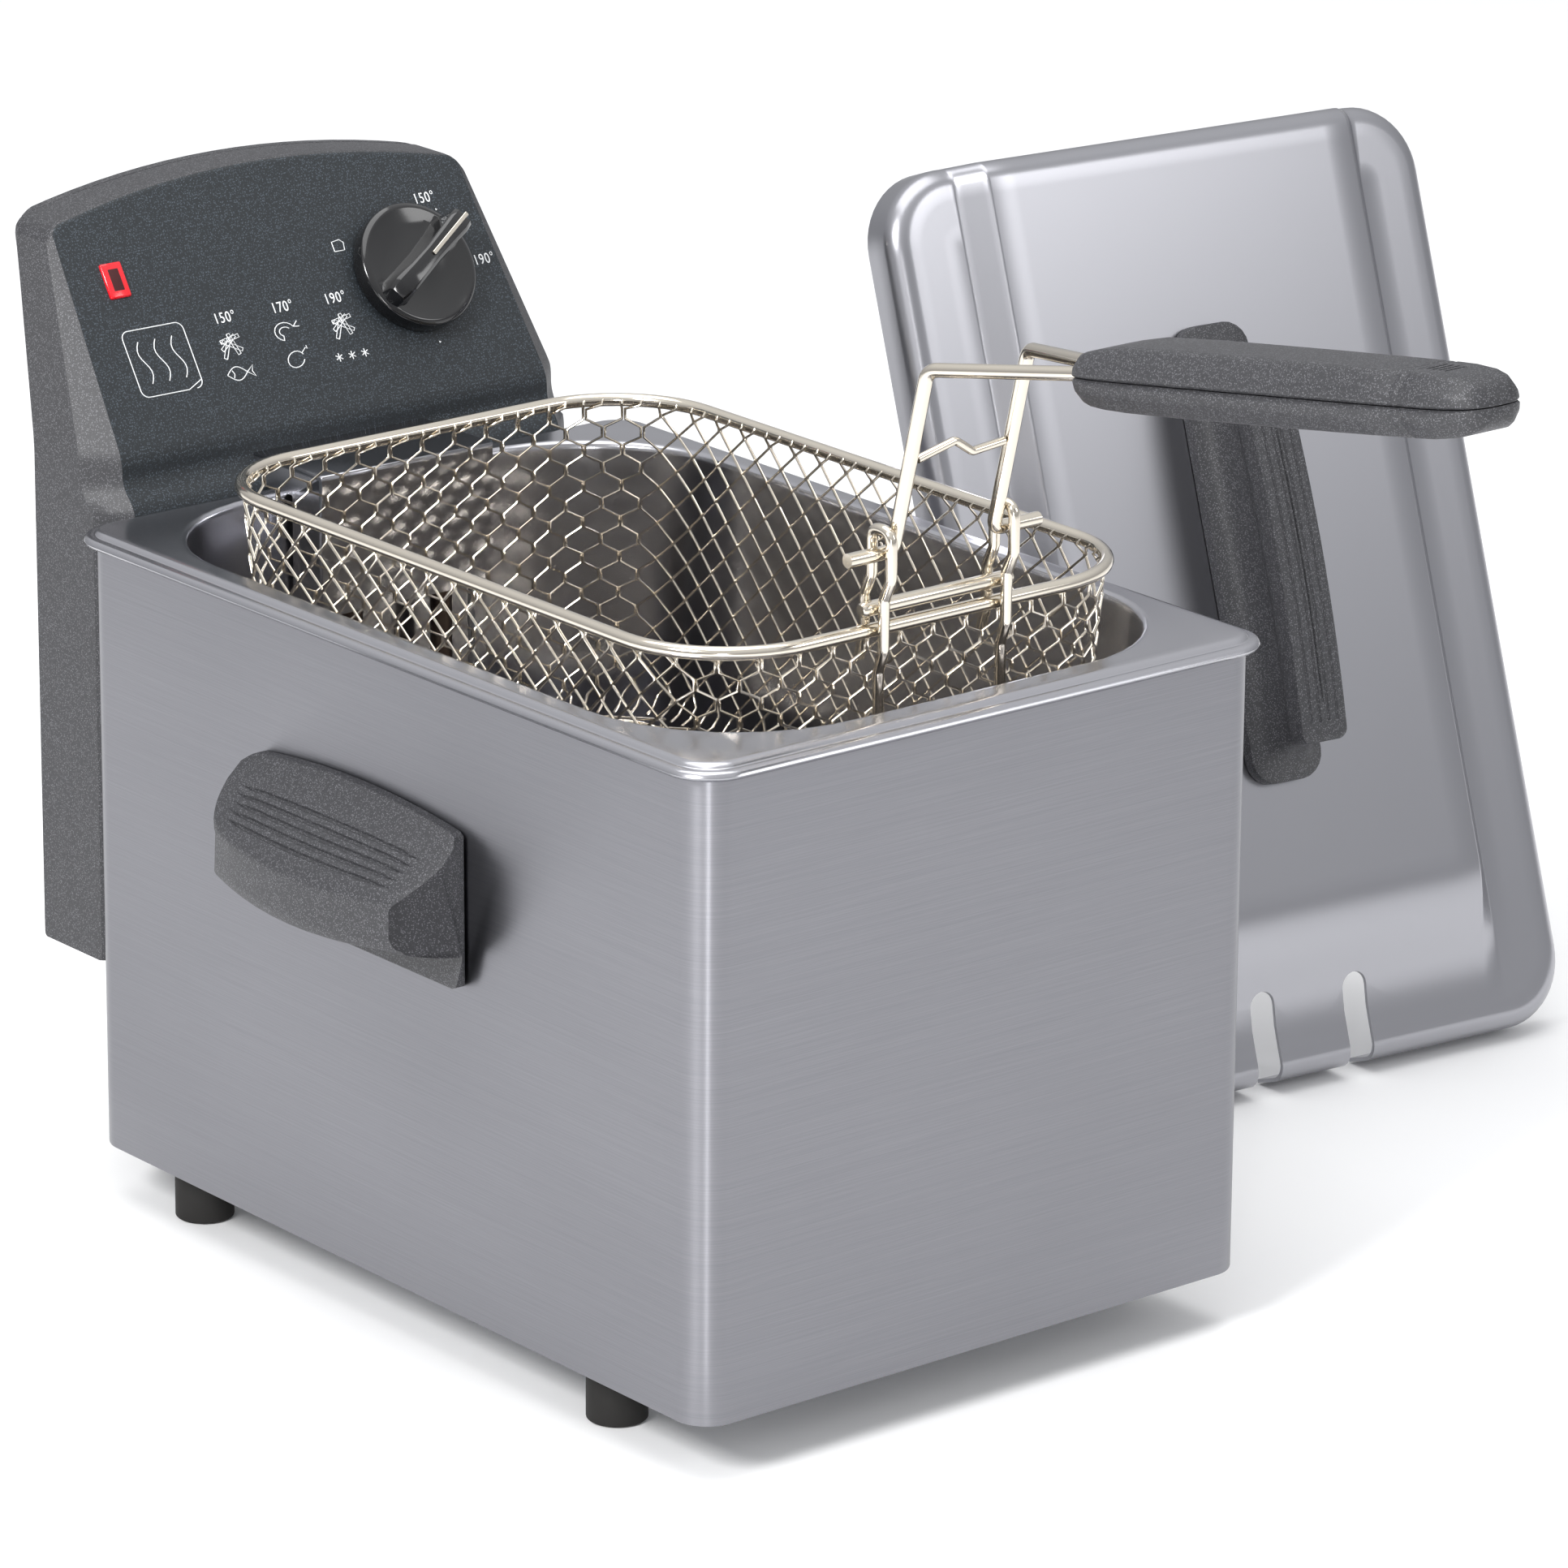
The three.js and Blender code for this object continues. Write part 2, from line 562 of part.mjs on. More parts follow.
function makeHead() {
  const outer = common(headForm(0, 0), crownLimit(0));
  const inner = common(headForm(head.wall, -20), crownLimit(head.wall));
  const shell = cut(common(outer, headForm(-5, head.cover + gap, -5)), inner);
  const bosses = headScrewPlaces.map(({ x, z, back }) => rod(
    vec(x, back - 1.6 * head.depth, z), vec(x, back - head.cover - gap - 0.4, z), headScrew.boss, 12));
  const bossed = join(shell, common(bosses.reduce((a, b) => join(a, b)), headForm(1, head.cover + gap)));
  const pilot = headScrewPlaces.map(({ x, z, back }) => rod(
    vec(x, back - head.cover - headScrew.bite - 1, z), vec(x, back + 1, z), headScrew.shank + gap, 12));
  const half = elementBracket.width / 2 + gap;
  const throat = block(-half, half, headFront - 5, bend.y + head.wall + 3, plateTop + gap / 2,
    bracketTop + gap);
  const plungerHole = rod(
    vec(0, headFront - 2, switchZ), vec(0, headFront + head.wall + 1, switchZ), microswitch.plunger + gap,
      12);
  const shaftHole = onPanel(rod(
    vec(knobX, knobSize.up, -8), vec(knobX, knobSize.up, 4), shaftSize.radius + gap + 0.4));
  const window = onPanel(block(
    lampX - lamp.width / 2 - gap, lampX + lamp.width / 2 + gap, lamp.up - lamp.height / 2 - gap,
    lamp.up + lamp.height / 2 + gap, -8, 4));
  const screwHoles = thermostatScrewPlaces().flatMap((x) => [
    onPanel(rod(vec(x, knobSize.up, -8), vec(x, knobSize.up, 4), thermostat.screw + gap, 12)),
    onPanel(rod(vec(x, knobSize.up, -1.2), vec(x, knobSize.up, 4), thermostat.screwHead + gap, 12)),
  ]);
  add('head_housing', cut(bossed, ...pilot, throat, plungerHole, shaftHole, window, ...screwHoles),
    charcoal);

  const sheet = cut(outer, headForm(-5, head.cover, -5));
  const holes = headScrewPlaces.map(({ x, z, back }) => rod(
    vec(x, back - head.cover - 3, z), vec(x, back + 3, z), headScrew.shank + gap, 12));
  const pinHole = rod(
    vec(resetPin.x, headBack - 9, resetZ), vec(resetPin.x, headBack + 3, resetZ), resetPin.radius + gap);
  const glandHole = rod(vec(gland.x, headBack - 9, glandZ), vec(gland.x, headBack + 3, glandZ),
    gland.radius + gap);
  add('head_back_cover', cut(sheet, ...holes, pinHole, glandHole), charcoal);
  for (const { name, x, z, back, under } of headScrewPlaces) {
    const bolt = add(`head_screw_${name}`, screw(headScrew, head.cover + headScrew.bite), sheetSteel);
    bolt.position.set(x, back + gap + under, z);
    bolt.rotation.x = -Math.PI / 2;
  }
}

function thermostatScrewPlaces() {
  return [-1, 1].map((sign) => knobX + (sign * thermostat.screwSpacing) / 2);
}

fryer.add(panel);

function makePanelPieces() {
  const back = -wallThrough - gap;
  const { radius, length } = thermostat;
  const bore = shaftSize.radius + gap;
  const floor = back - shaftSize.inBody;
  const body = turned([
    [0, back - length], [radius, back - length], [radius, back], [bore, back], [bore, floor - gap], [0,
      floor - gap],
  ]).translate(knobX, knobSize.up, 0);
  const pilots = thermostatScrewPlaces().map((x) => rod(
    vec(x, knobSize.up, back - thermostat.screwBite - 1), vec(x, knobSize.up, back + 1),
      thermostat.screw + gap, 12));
  add('thermostat_body', cut(body, ...pilots), cream, panel);
  thermostatScrewPlaces().forEach((x, number) => {
    const size = { shank: thermostat.screw, head: thermostat.screwHead, headHeight: 0.8 };
    const bolt = screw(size, -back - 1.2 + gap + thermostat.screwBite);
    add(`thermostat_screw_${number + 1}`, bolt, sheetSteel, panel).position.set(x, knobSize.up, -1.2 + gap);
  });

  const w = lamp.width / 2;
  const h = lamp.height / 2;
  add('lamp_lens', block(-w, w, -h, h, -wallThrough, lamp.proud), redLens, panel).position.set(lampX,
    lamp.up, 0);
  const bodyTop = -wallThrough - gap;
  add('lamp_body', block(-w - 1.5, w + 1.5, -h - 1.5, h + 1.5, bodyTop - lamp.body, bodyTop), cream, panel)
    .position.set(lampX, lamp.up, 0);
}

function makeKnob() {
  const { radius, skirt, bar, barLength, height, turned: angle } = knobSize;
  const under = 0.6;
  const disc = turned([
    [0, under], [radius, under], [radius, under + 1.5], [radius - 1.2, skirt], [radius - 3, skirt + 0.8],
      [0, skirt + 0.8],
  ], 28);
  const half = barLength / 2;
  const outline = [
    [-half, skirt - 1], [half, skirt - 1], [half - 0.5, skirt + 3], [half - 3, height - 1], [half - 5,
      height],
    [-half + 5, height], [-half + 3, height - 1], [-half + 0.5, skirt + 3],
  ];
  const ridge = sideSlab(outline, -bar / 2, bar / 2);
  const bore = rod(vec(0, 0, under - 1), vec(0, 0, shaftSize.inKnob + gap), shaftSize.radius + gap);
  const outer = half - 4;
  const groove = block(
    -pointer.width / 2 - gap, pointer.width / 2 + gap, outer - pointer.length - gap, outer + gap,
    height - pointer.sheet - gap + 0.2, height + 1);
  const turnedKnob = new THREE.Group();
  turnedKnob.position.set(knobX, knobSize.up, 0);
  turnedKnob.rotation.z = THREE.MathUtils.degToRad(angle);
  panel.add(turnedKnob);
  add('knob', cut(join(disc, ridge), bore, groove), glossBlack, turnedKnob);
  const insert = block(
    -pointer.width / 2, pointer.width / 2, outer - pointer.length, outer, height - pointer.sheet + 0.2,
      height + 0.2);
  add('pointer_insert', insert, chromeWire, turnedKnob);
  const bottom = -wallThrough - gap - shaftSize.inBody;
  add('thermostat_shaft', rod(vec(0, 0, bottom), vec(0, 0, shaftSize.inKnob), shaftSize.radius),
    sheetSteel, turnedKnob);
}

function makeHeadFittings() {
  const inner = headBack - head.cover;
  const pin = turned([
    [0, -resetPin.inside], [resetPin.radius, -resetPin.inside], [resetPin.radius, -1.6 - gap],
      [resetPin.flange, -1.6 - gap],
    [resetPin.flange, -gap], [resetPin.radius, -gap], [resetPin.radius, head.cover + resetPin.proud],
    [0, head.cover + resetPin.proud],
  ]).rotateX(-Math.PI / 2);
  add('reset_button', pin, redLens).position.set(resetPin.x, inner, resetZ);

  const cutoutFront = inner - resetPin.inside - resetPin.travel - gap;
  const disc = rod(
    vec(resetPin.x, cutoutFront - cutout.length, resetZ), vec(resetPin.x, cutoutFront, resetZ),
      cutout.radius, 20);
  add('thermal_cutout', disc, cream);

  const lip = head.cover + 2 * gap;
  const { radius, flange, bore, flangeDepth } = gland;
  const spool = turned([
    [bore, -flangeDepth], [flange, -flangeDepth], [flange, 0], [radius, 0], [radius, lip], [flange, lip],
    [flange - 2, lip + flangeDepth], [bore, lip + flangeDepth], [bore, -flangeDepth],
  ]).rotateX(-Math.PI / 2);
  add('cord_gland', spool, rubber).position.set(gland.x, inner - gap, glandZ);

  const front = headFront + head.wall + gap;
  const half = terminal.width / 2;
  const terminalZ = bend.z - terminal.belowBend;
  const strip = block(-half, half, front, front + terminal.depth, terminalZ, terminalZ + terminal.height);
  const wires = [-1, 0, 1].map((n) => rod(
    vec((n * terminal.width) / 3.2, front + terminal.depth / 2, terminalZ - 1),
    vec((n * terminal.width) / 3.2, front + terminal.depth / 2, terminalZ + terminal.height + 1),
      terminal.bore, 12));
  add('terminal_block', cut(strip, ...wires), cream);

  const { width, depth, height, plunger } = microswitch;
  const z = switchZ;
  const box = block(-width / 2, width / 2, front, front + depth, z - height / 2, z + height / 2);
  const stem = rod(vec(0, halfD + bowl.lip + gap, z), vec(0, front + 1, z), plunger, 12);
  add('interlock_switch', join(box, stem), panelBlack);
}

function makeElement() {
  const { radius, inner, riser, frontRun, turn } = element;
  const outer = elementOuter;
  const frontY = well.front + frontRun;
  const rearY = riserY - 28;
  const inside = bend.y + 8;
  const half = [
    vec(riser, inside, riserTop), vec(riser, riserY, riserTop), vec(riser, riserY, elementZ), vec(riser,
      rearY, elementZ),
    vec(outer, rearY, elementZ), vec(outer, frontY, elementZ), vec(inner, frontY, elementZ), vec(inner,
      rearY - 35, elementZ),
  ];
  const mirror = half.slice().reverse().map((p) => vec(-p.x, p.y, p.z));
  add('heating_element', wire([...half, ...mirror], radius, turn), copperRed);

  const bulbZ = elementZ + bulb.aboveElement;
  const leadX = bulbX - bulb.sideStep;
  const bulbRear = bulb.middle + bulb.length / 2;
  const body = rod(vec(bulbX, bulbRear - bulb.length, bulbZ), vec(bulbX, bulbRear, bulbZ), bulb.radius, 12);
  const lead = wire([
    vec(bulbX, bulbRear - 3, bulbZ), vec(bulbX, riserY - 12, bulbZ), vec(leadX, riserY, bulbZ + 8),
    vec(leadX, riserY, riserTop), vec(leadX, inside, riserTop),
  ], bulb.capillary, 6, 6);
  add('sensor_bulb', join(body, lead), chromeWire);

  const { wall, width, y } = clip;
  const low = [outer, elementZ];
  const high = [bulbX, bulbZ];
  const strap = join(
    rod(vec(low[0], y, low[1]), vec(low[0], y + width, low[1]), radius + gap + wall),
    rod(vec(high[0], y, high[1]), vec(high[0], y + width, high[1]), bulb.radius + gap + wall),
    slab([[high[0], high[1] - wall], [low[0], low[1] - wall], [low[0], low[1] + wall], [high[0],
      high[1] + wall]], width)
      .rotateX(Math.PI / 2).translate(0, y + width, 0));
  const bores = [
    rod(vec(low[0], y - 1, low[1]), vec(low[0], y + width + 1, low[1]), radius + gap),
    rod(vec(high[0], y - 1, high[1]), vec(high[0], y + width + 1, high[1]), bulb.radius + gap),
  ];
  add('bulb_clip', cut(strap, ...bores), sheetSteel);
}

function makeElementBracket() {
  const { width, sheet, apron, front, reach } = elementBracket;
  const half = width / 2;
  const y0 = well.rear - front;
  const y1 = bend.y + reach;
  const low = plateTop - apron;
  const top = bracketTop;
  const step = plateTop + gap;
  const cheek = [[y0, low], [well.rear - 3, low], [well.rear - 3, step], [y1, step], [y1, top], [y0, top]];
  add('element_bracket', join(
    block(-half, half, y0, y1, top - sheet, top), block(-half, half, y0, y0 + sheet, low, top),
    sideSlab(cheek, -half, -half + sheet), sideSlab(cheek, half - sheet, half)), sheetSteel);
}

// ---- Basket, in the draining place, and its folding handle

const rimZ = plateTop + basket.rise;
const tub = {
  halfX: well.halfX - basket.side - basket.rimWire,
  halfY: (well.rear - basket.rear - well.front - basket.front) / 2 - basket.rimWire,
  middleY: (well.rear - basket.rear + well.front + basket.front) / 2,
  bottom: rimZ - basket.depth,
};
const rimFront = tub.middleY - tub.halfY;

function makeBasket() {
  const { wall, taper, corner, floorRound, rimWire, baseWire, baseInset } = basket;
  const at = (inset, z) => ring(tub.halfX - inset, tub.halfY - inset, corner - inset, z, tub.middleY);
  const run = (inset, bottom, top) => [
    at(inset + taper + floorRound, bottom), at(inset + taper + floorRound * 0.3, bottom + floorRound * 0.3),
    at(inset + taper, bottom + floorRound), at(inset, top),
  ];
  const top = rimZ - rimWire - gap;
  const outside = run(0, tub.bottom, top);
  const inside = run(wall, tub.bottom + wall, top).reverse();
  add('basket_mesh', skin([...outside, ...inside]), chromeWire);
  add('basket_rim', hoop(tub.halfX, tub.halfY, corner, rimZ, tub.middleY, rimWire), chromeWire);
  const inset = taper + baseInset;
  add('basket_base_wire', hoop(
    tub.halfX - inset, tub.halfY - inset, corner - inset, tub.bottom - gap - baseWire, tub.middleY,
      baseWire), chromeWire);
}

const pivot = { y: rimFront - bracket.lean, z: rimZ + handle.pinRise };

function makeBrackets() {
  const { wire: radius, top, lean, tail, crossbar, crossbarOver, crossRise } = bracket;
  const x = handle.leg + handle.wire + gap + radius;
  const half = crossbar + gap + radius;
  const crossbarHalf = x + radius + crossbarOver;
  const inside = rimFront + half;
  const outside = rimFront - half;
  const loopTop = rimZ + top + half;
  for (const [side, sign] of sides) {
    const at = (y, z) => vec(sign * x, y, z);
    const path = [
      at(rimFront - radius - gap, rimZ - tail), at(rimFront - radius - gap, rimZ - 11), at(outside,
        rimZ - 5),
      at(outside, rimZ + crossRise + 3), at(outside - lean, rimZ + crossRise + 9), at(outside - lean,
        loopTop),
      at(inside - lean, loopTop), at(inside - lean, rimZ + crossRise + 9), at(inside, rimZ + crossRise + 3),
      at(inside, rimZ - 2), at(inside + 2.2, rimZ - 9),
    ];
    add(`basket_bracket_${side}`, wire(path, radius, 3.6), chromeWire);
  }
  const bar = rod(vec(-crossbarHalf, rimFront, rimZ + crossRise), vec(crossbarHalf, rimFront,
    rimZ + crossRise), crossbar, 10);
  add('bracket_crossbar', bar, chromeWire);
}

function handlePath() {
  const { leg, pin, legForward, legRise, armForward, armRise, armHalf, intoGrip } = handle;
  const slope = THREE.MathUtils.degToRad(hold.slope);
  const corner = { y: pivot.y - legForward, z: pivot.z + legRise };
  const entry = { y: corner.y - armForward, z: corner.z + armRise };
  const end = { y: entry.y - intoGrip * Math.cos(slope), z: entry.z + intoGrip * Math.sin(slope) };
  const half = [
    vec(-pin, pivot.y, pivot.z), vec(-leg, pivot.y, pivot.z), vec(-leg, corner.y, corner.z), vec(-armHalf,
      entry.y, entry.z),
    vec(-armHalf, end.y, end.z),
  ];
  return { path: [...half, ...half.slice().reverse().map((p) => vec(-p.x, p.y, p.z))], entry, corner,
    slope };
}

/** Half of the hand hold in its own frame: Z along it, Y up, on one side of the seam. */
function holdHalf(sign) {
  const { length, width, height } = hold;
  const stations = [[0, 0.62], [2, 0.82], [7, 0.95], [18, 1], [length - 40, 0.98], [length - 16, 0.94],
    [length - 6, 0.74], [length - 1.5, 0.42], [length, 0.12]];
  const rings = stations.map(([z, share]) => {
    const points = [];
    for (let i = 0; i <= 10; i += 1) {
      const angle = (sign * Math.PI * i) / 10;
      const lift = Math.min(Math.abs(Math.sin(angle)) * 1.12, 1);
      points.push(vec((width / 2) * share * Math.cos(angle), sign * (gap / 2
        + (height / 2) * share * lift), z));
    }
    return points;
  });
  return skin(sign > 0 ? rings : rings.map((points) => points.slice().reverse()));
}

function makeHandle() {
  const { path, entry, corner, slope } = handlePath();
  const bends = path.slice(1, -1).map((p) => (Math.abs(p.z - pivot.z) < gap ? handle.pinBend : handle.bend));
  add('handle_wire', wire(path, handle.wire, bends), chromeWire);
  const up = handle.spacerUp;
  const part = up / handle.legRise;
  const y = pivot.y + (corner.y - pivot.y) * part;
  const z = pivot.z + up;
  const end = handle.leg - handle.wire - gap - 0.3;
  add('handle_spacer', wire(
    [vec(-end, y, z), vec(-2, y, z + 3), vec(4, y, z - 1), vec(end, y, z)], handle.spacerWire, 2, 6),
      chromeWire);

  const group = new THREE.Group();
  group.position.set(0, entry.y - hold.overlap, entry.z + hold.overlap * Math.sin(slope));
  group.rotation.x = Math.PI / 2 - slope;
  group.updateMatrix();
  const placed = (geometry) => geometry.applyMatrix4(group.matrix);
  const channel = wire(path.slice(2, -2), handle.wire + gap, handle.bend);
  const top = hold.height / 2 + gap;
  const bores = [holdScrew.near, holdScrew.far].flatMap((at) => [
    placed(rod(vec(0, -top - 1, at), vec(0, holdScrew.bite, at), holdScrew.shank + gap, 12)),
    placed(rod(vec(0, -top - 1, at), vec(0, -top + holdScrew.recess, at), holdScrew.head + gap, 12)),
  ]);
  add('grip_upper', cut(placed(holdHalf(1)), channel, ...bores), charcoal);
  add('grip_lower', cut(placed(holdHalf(-1)), channel, ...bores), charcoal);
  fryer.add(group);
  [['near', holdScrew.near], ['far', holdScrew.far]].forEach(([name, at]) => {
    const length = top - holdScrew.recess + holdScrew.bite - 2 * gap;
    const bolt = add(`handle_screw_${name}`, screw(holdScrew, length), sheetSteel, group);
    bolt.position.set(0, -top + holdScrew.recess - gap, at);
    bolt.rotation.x = Math.PI / 2;
  });
}

// ---- Lid, standing on its slotted end beside the fryer. Its own frame: X across, Y up the lid, Z outwards

const lidStand = new THREE.Group();
lidStand.position.set(halfW + lid.standGap + lidWidth / 2, 0, -foot.height);
lidStand.rotation.order = 'ZXY';
lidStand.rotation.set(Math.PI / 2 - THREE.MathUtils.degToRad(lid.lean), 0,
  THREE.MathUtils.degToRad(lid.turn));
fryer.add(lidStand);

/** The lid as a filled form: a rounded tray and a raised panel that dies away towards the slots. */
function lidForm(inset, bottom) {
  const { skirt, corner, round, raise, margin, bevel, fadeFrom, fadeTo } = lid;
  const top = skirt - inset;
  const end = lidLength - inset;
  const at = (more, z) => ring(lidWidth / 2 - inset - more, lidLength / 2 - inset - more,
    corner - (inset + more) * 0.6, z, lidLength / 2);
  const tray = skin([at(0, bottom), at(0, top - round), at(round * 0.3, top - round * 0.3), at(round, top)]);

  const foot = lidWidth / 2 - margin;
  const crest = foot - bevel;
  const across = (y, lift, drop) => [
    [foot, top - round - 1], [foot, top - drop], [crest, top + lift - drop], [-crest, top + lift - drop],
    [-foot, top - drop], [-foot, top - round - 1],
  ].map(([x, z]) => vec(x, y, z));
  const rise = [0, 0.25, 0.5, 0.75, 1].map((part) => across(
    fadeFrom + (fadeTo - fadeFrom) * part, raise * THREE.MathUtils.smoothstep(part, 0, 1), 0));
  const shoulder = [[round, 0], [round * 0.3, round * 0.3], [0, round]].map(([back, drop]) => across(
    end - back, raise, drop));
  return join(tray, skin([...rise, ...shoulder]));
}

function makeLid() {
  const { skirt, sheet, raise } = lid;
  const slots = sides.flatMap(([, sign]) => {
    const x = sign * handle.leg;
    const half = lid.slotWidth / 2;
    const end = lid.slotLength - half;
    return [block(x - half, x + half, -5, end, -1, skirt + raise + 2), rod(vec(x, end, -1), vec(x, end,
      skirt + raise + 2), half)];
  });
  const screwHoles = lidScrewPlaces().map((y) => rod(vec(0, y, 0), vec(0, y, skirt + raise + 3),
    lidScrew.shank + gap, 12));
  add('lid_shell', cut(lidForm(0, 0), lidForm(sheet, -1), ...slots, ...screwHoles), brushed, lidStand);
}

function lidScrewPlaces() {
  return [-1, 1].map((sign) => lidLength / 2 + lidGrip.offCentre + (sign * lidScrew.spacing) / 2);
}

function makeLidGrip() {
  const { length, width, cap, neck, height, endHeight, pad, capDepth, capInset } = lidGrip;
  const base = lid.skirt + lid.raise + gap;
  const right = [
    [width / 2, 0], [width / 2, pad - 1], [width / 2 - 1, pad], [neck / 2 + 1.5, pad + 3], [neck / 2,
      pad + 7],
    [neck / 2 + 1, height - capDepth - 3], [cap / 2, height - capDepth], [cap / 2 + 0.5, height - 3],
      [cap / 2 - 1, height],
  ];
  const section = [...right, ...right.slice().reverse().map(([x, z]) => [-x, z])];
  const run = slab(section, length).rotateX(Math.PI / 2).translate(0, length, 0);
  const crest = [];
  for (let i = 0; i <= 8; i += 1) {
    const along = (i / 8) * 2 - 1;
    const drop = (height - endHeight) * along * along;
    crest.push([length / 2 + along * (length / 2 - capInset), height - drop]);
  }
  const scoop = [[capInset + 1, endHeight - capDepth], [capInset - 2, pad + 4], [2, pad + 1]];
  const low = [[0, -1], [length, -1], [length, pad]];
  const far = scoop.slice().reverse().map(([y, z]) => [length - y, z]);
  const profile = sideSlab([...low, ...far, ...crest.reverse(), ...scoop, [0, pad]], -width, width);
  const body = common(run, profile).translate(0, (lidLength - length) / 2 + lidGrip.offCentre, base);
  const bores = lidScrewPlaces().map((y) => rod(vec(0, y, base - 1), vec(0, y, base + lidScrew.bite),
    lidScrew.shank + gap, 12));
  add('lid_handle', cut(body, ...bores), charcoal, lidStand);
  [['low', 0], ['high', 1]].forEach(([name, number]) => {
    const under = lid.skirt + lid.raise - lid.sheet - gap;
    const bolt = add(`lid_screw_${name}`, screw(lidScrew, base - under + lidScrew.bite - gap), sheetSteel,
      lidStand);
    bolt.position.set(0, lidScrewPlaces()[number], under);
    bolt.rotation.x = Math.PI;
  });
}

makeCasing();
makeBasePlate();
makeFeet();
makeSideGrips();
makeRails();
makeBowl();
makeHead();
makePanelPieces();
makeKnob();
makeHeadFittings();
makeElement();
makeElementBracket();
makeBasket();
makeBrackets();
makeHandle();
makeLid();
makeLidGrip();

export default fryer;
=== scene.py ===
"""A counter-top deep fryer: steel casing, drawn bowl, leaning control head, wire basket and a loose lid."""
import logging
import math
from collections.abc import Callable, Iterable, Iterator, Sequence
from contextlib import contextmanager
from dataclasses import dataclass, field
from enum import Enum

import bmesh
import bpy
from mathutils import Matrix, Vector


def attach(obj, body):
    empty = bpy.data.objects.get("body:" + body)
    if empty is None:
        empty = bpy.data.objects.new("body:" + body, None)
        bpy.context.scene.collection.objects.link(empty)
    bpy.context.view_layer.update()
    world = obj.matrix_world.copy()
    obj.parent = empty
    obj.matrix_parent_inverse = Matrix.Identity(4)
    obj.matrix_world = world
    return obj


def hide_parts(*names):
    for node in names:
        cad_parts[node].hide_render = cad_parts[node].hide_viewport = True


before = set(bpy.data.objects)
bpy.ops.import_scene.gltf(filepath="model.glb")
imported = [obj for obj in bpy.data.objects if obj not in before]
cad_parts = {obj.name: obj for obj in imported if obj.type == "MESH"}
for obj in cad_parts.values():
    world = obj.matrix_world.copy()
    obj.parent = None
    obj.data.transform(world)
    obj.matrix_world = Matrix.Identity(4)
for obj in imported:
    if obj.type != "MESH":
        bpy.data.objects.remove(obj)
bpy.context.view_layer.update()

LOG = logging.getLogger("deep_fryer")
MM = 0.001  # every size below is in millimetres, and a mesh is brought to metres when it is made
MERGE = 0.002  # points nearer than this, in millimetres, are one point
WIRE_ANGLE = 60.0  # a wire is shaded smooth across edges flatter than this
CORNERS = ((1, -1, -90), (1, 1, 0), (-1, 1, 90), (-1, -1, 180))  # a ring's corners: signs of X and Y, start of the arc

Pair = tuple[float, float]
Path = list[Vector]


class Body(Enum):
    """The moving bodies that a piece can ride on."""

    BASE = "base"
    BOWL = "bowl"
    UNIT = "control_unit"
    KNOB = "thermostat_knob"
    RESET = "reset"
    BASKET = "basket"
    HANDLE = "basket_handle"
    LID = "lid"


class Side(Enum):
    """Left and right, as the sign of X."""

    LEFT = -1
    RIGHT = 1

    @property
    def word(self) -> str:
        """The side's name as the nodes spell it."""
        return self.name.lower()


# ---- Finishes


def linear(code: str, alpha: float = 1.0) -> tuple[float, float, float, float]:
    """Turns an sRGB hex colour to linear.

    Args:
        code: the colour as "#RRGGBB".
        alpha: the fourth value.

    Returns:
        Red, green, blue and alpha, linear.
    """
    parts = [int(code[i:i + 2], 16) / 255 for i in (1, 3, 5)]
    red, green, blue = (p / 12.92 if p <= 0.04045 else ((p + 0.055) / 1.055) ** 2.4 for p in parts)
    return (red, green, blue, alpha)


def add_node(tree: bpy.types.NodeTree, kind: str, settings: dict | None = None,
             inputs: dict | None = None) -> bpy.types.Node:
    """Adds one node with its settings, values and links.

    Args:
        tree: the material's node tree.
        kind: the node's type name.
        settings: properties to set on the node.
        inputs: for each input, a value or the output socket to link from.

    Returns:
        The new node.
    """
    node = tree.nodes.new(kind)
    for name, value in (settings or {}).items():
        setattr(node, name, value)
    for name, value in (inputs or {}).items():
        if isinstance(value, bpy.types.NodeSocket):
            tree.links.new(value, node.inputs[name])
        else:
            node.inputs[name].default_value = value
    return node


def add_ramp(tree: bpy.types.NodeTree, factor: bpy.types.NodeSocket,
             stops: Sequence[tuple[float, str]]) -> bpy.types.NodeSocket:
    """Adds a colour ramp.

    Args:
        tree: the material's node tree.
        factor: the socket that drives it.
        stops: places and hex colours, low to high.

    Returns:
        The ramp's colour socket.
    """
    node = add_node(tree, "ShaderNodeValToRGB", inputs={"Fac": factor})
    ramp = node.color_ramp
    ramp.elements[0].position, ramp.elements[0].color = stops[0][0], linear(stops[0][1])
    ramp.elements[1].position, ramp.elements[1].color = stops[-1][0], linear(stops[-1][1])
    for place, code in stops[1:-1]:
        ramp.elements.new(place).color = linear(code)
    return node.outputs["Color"]


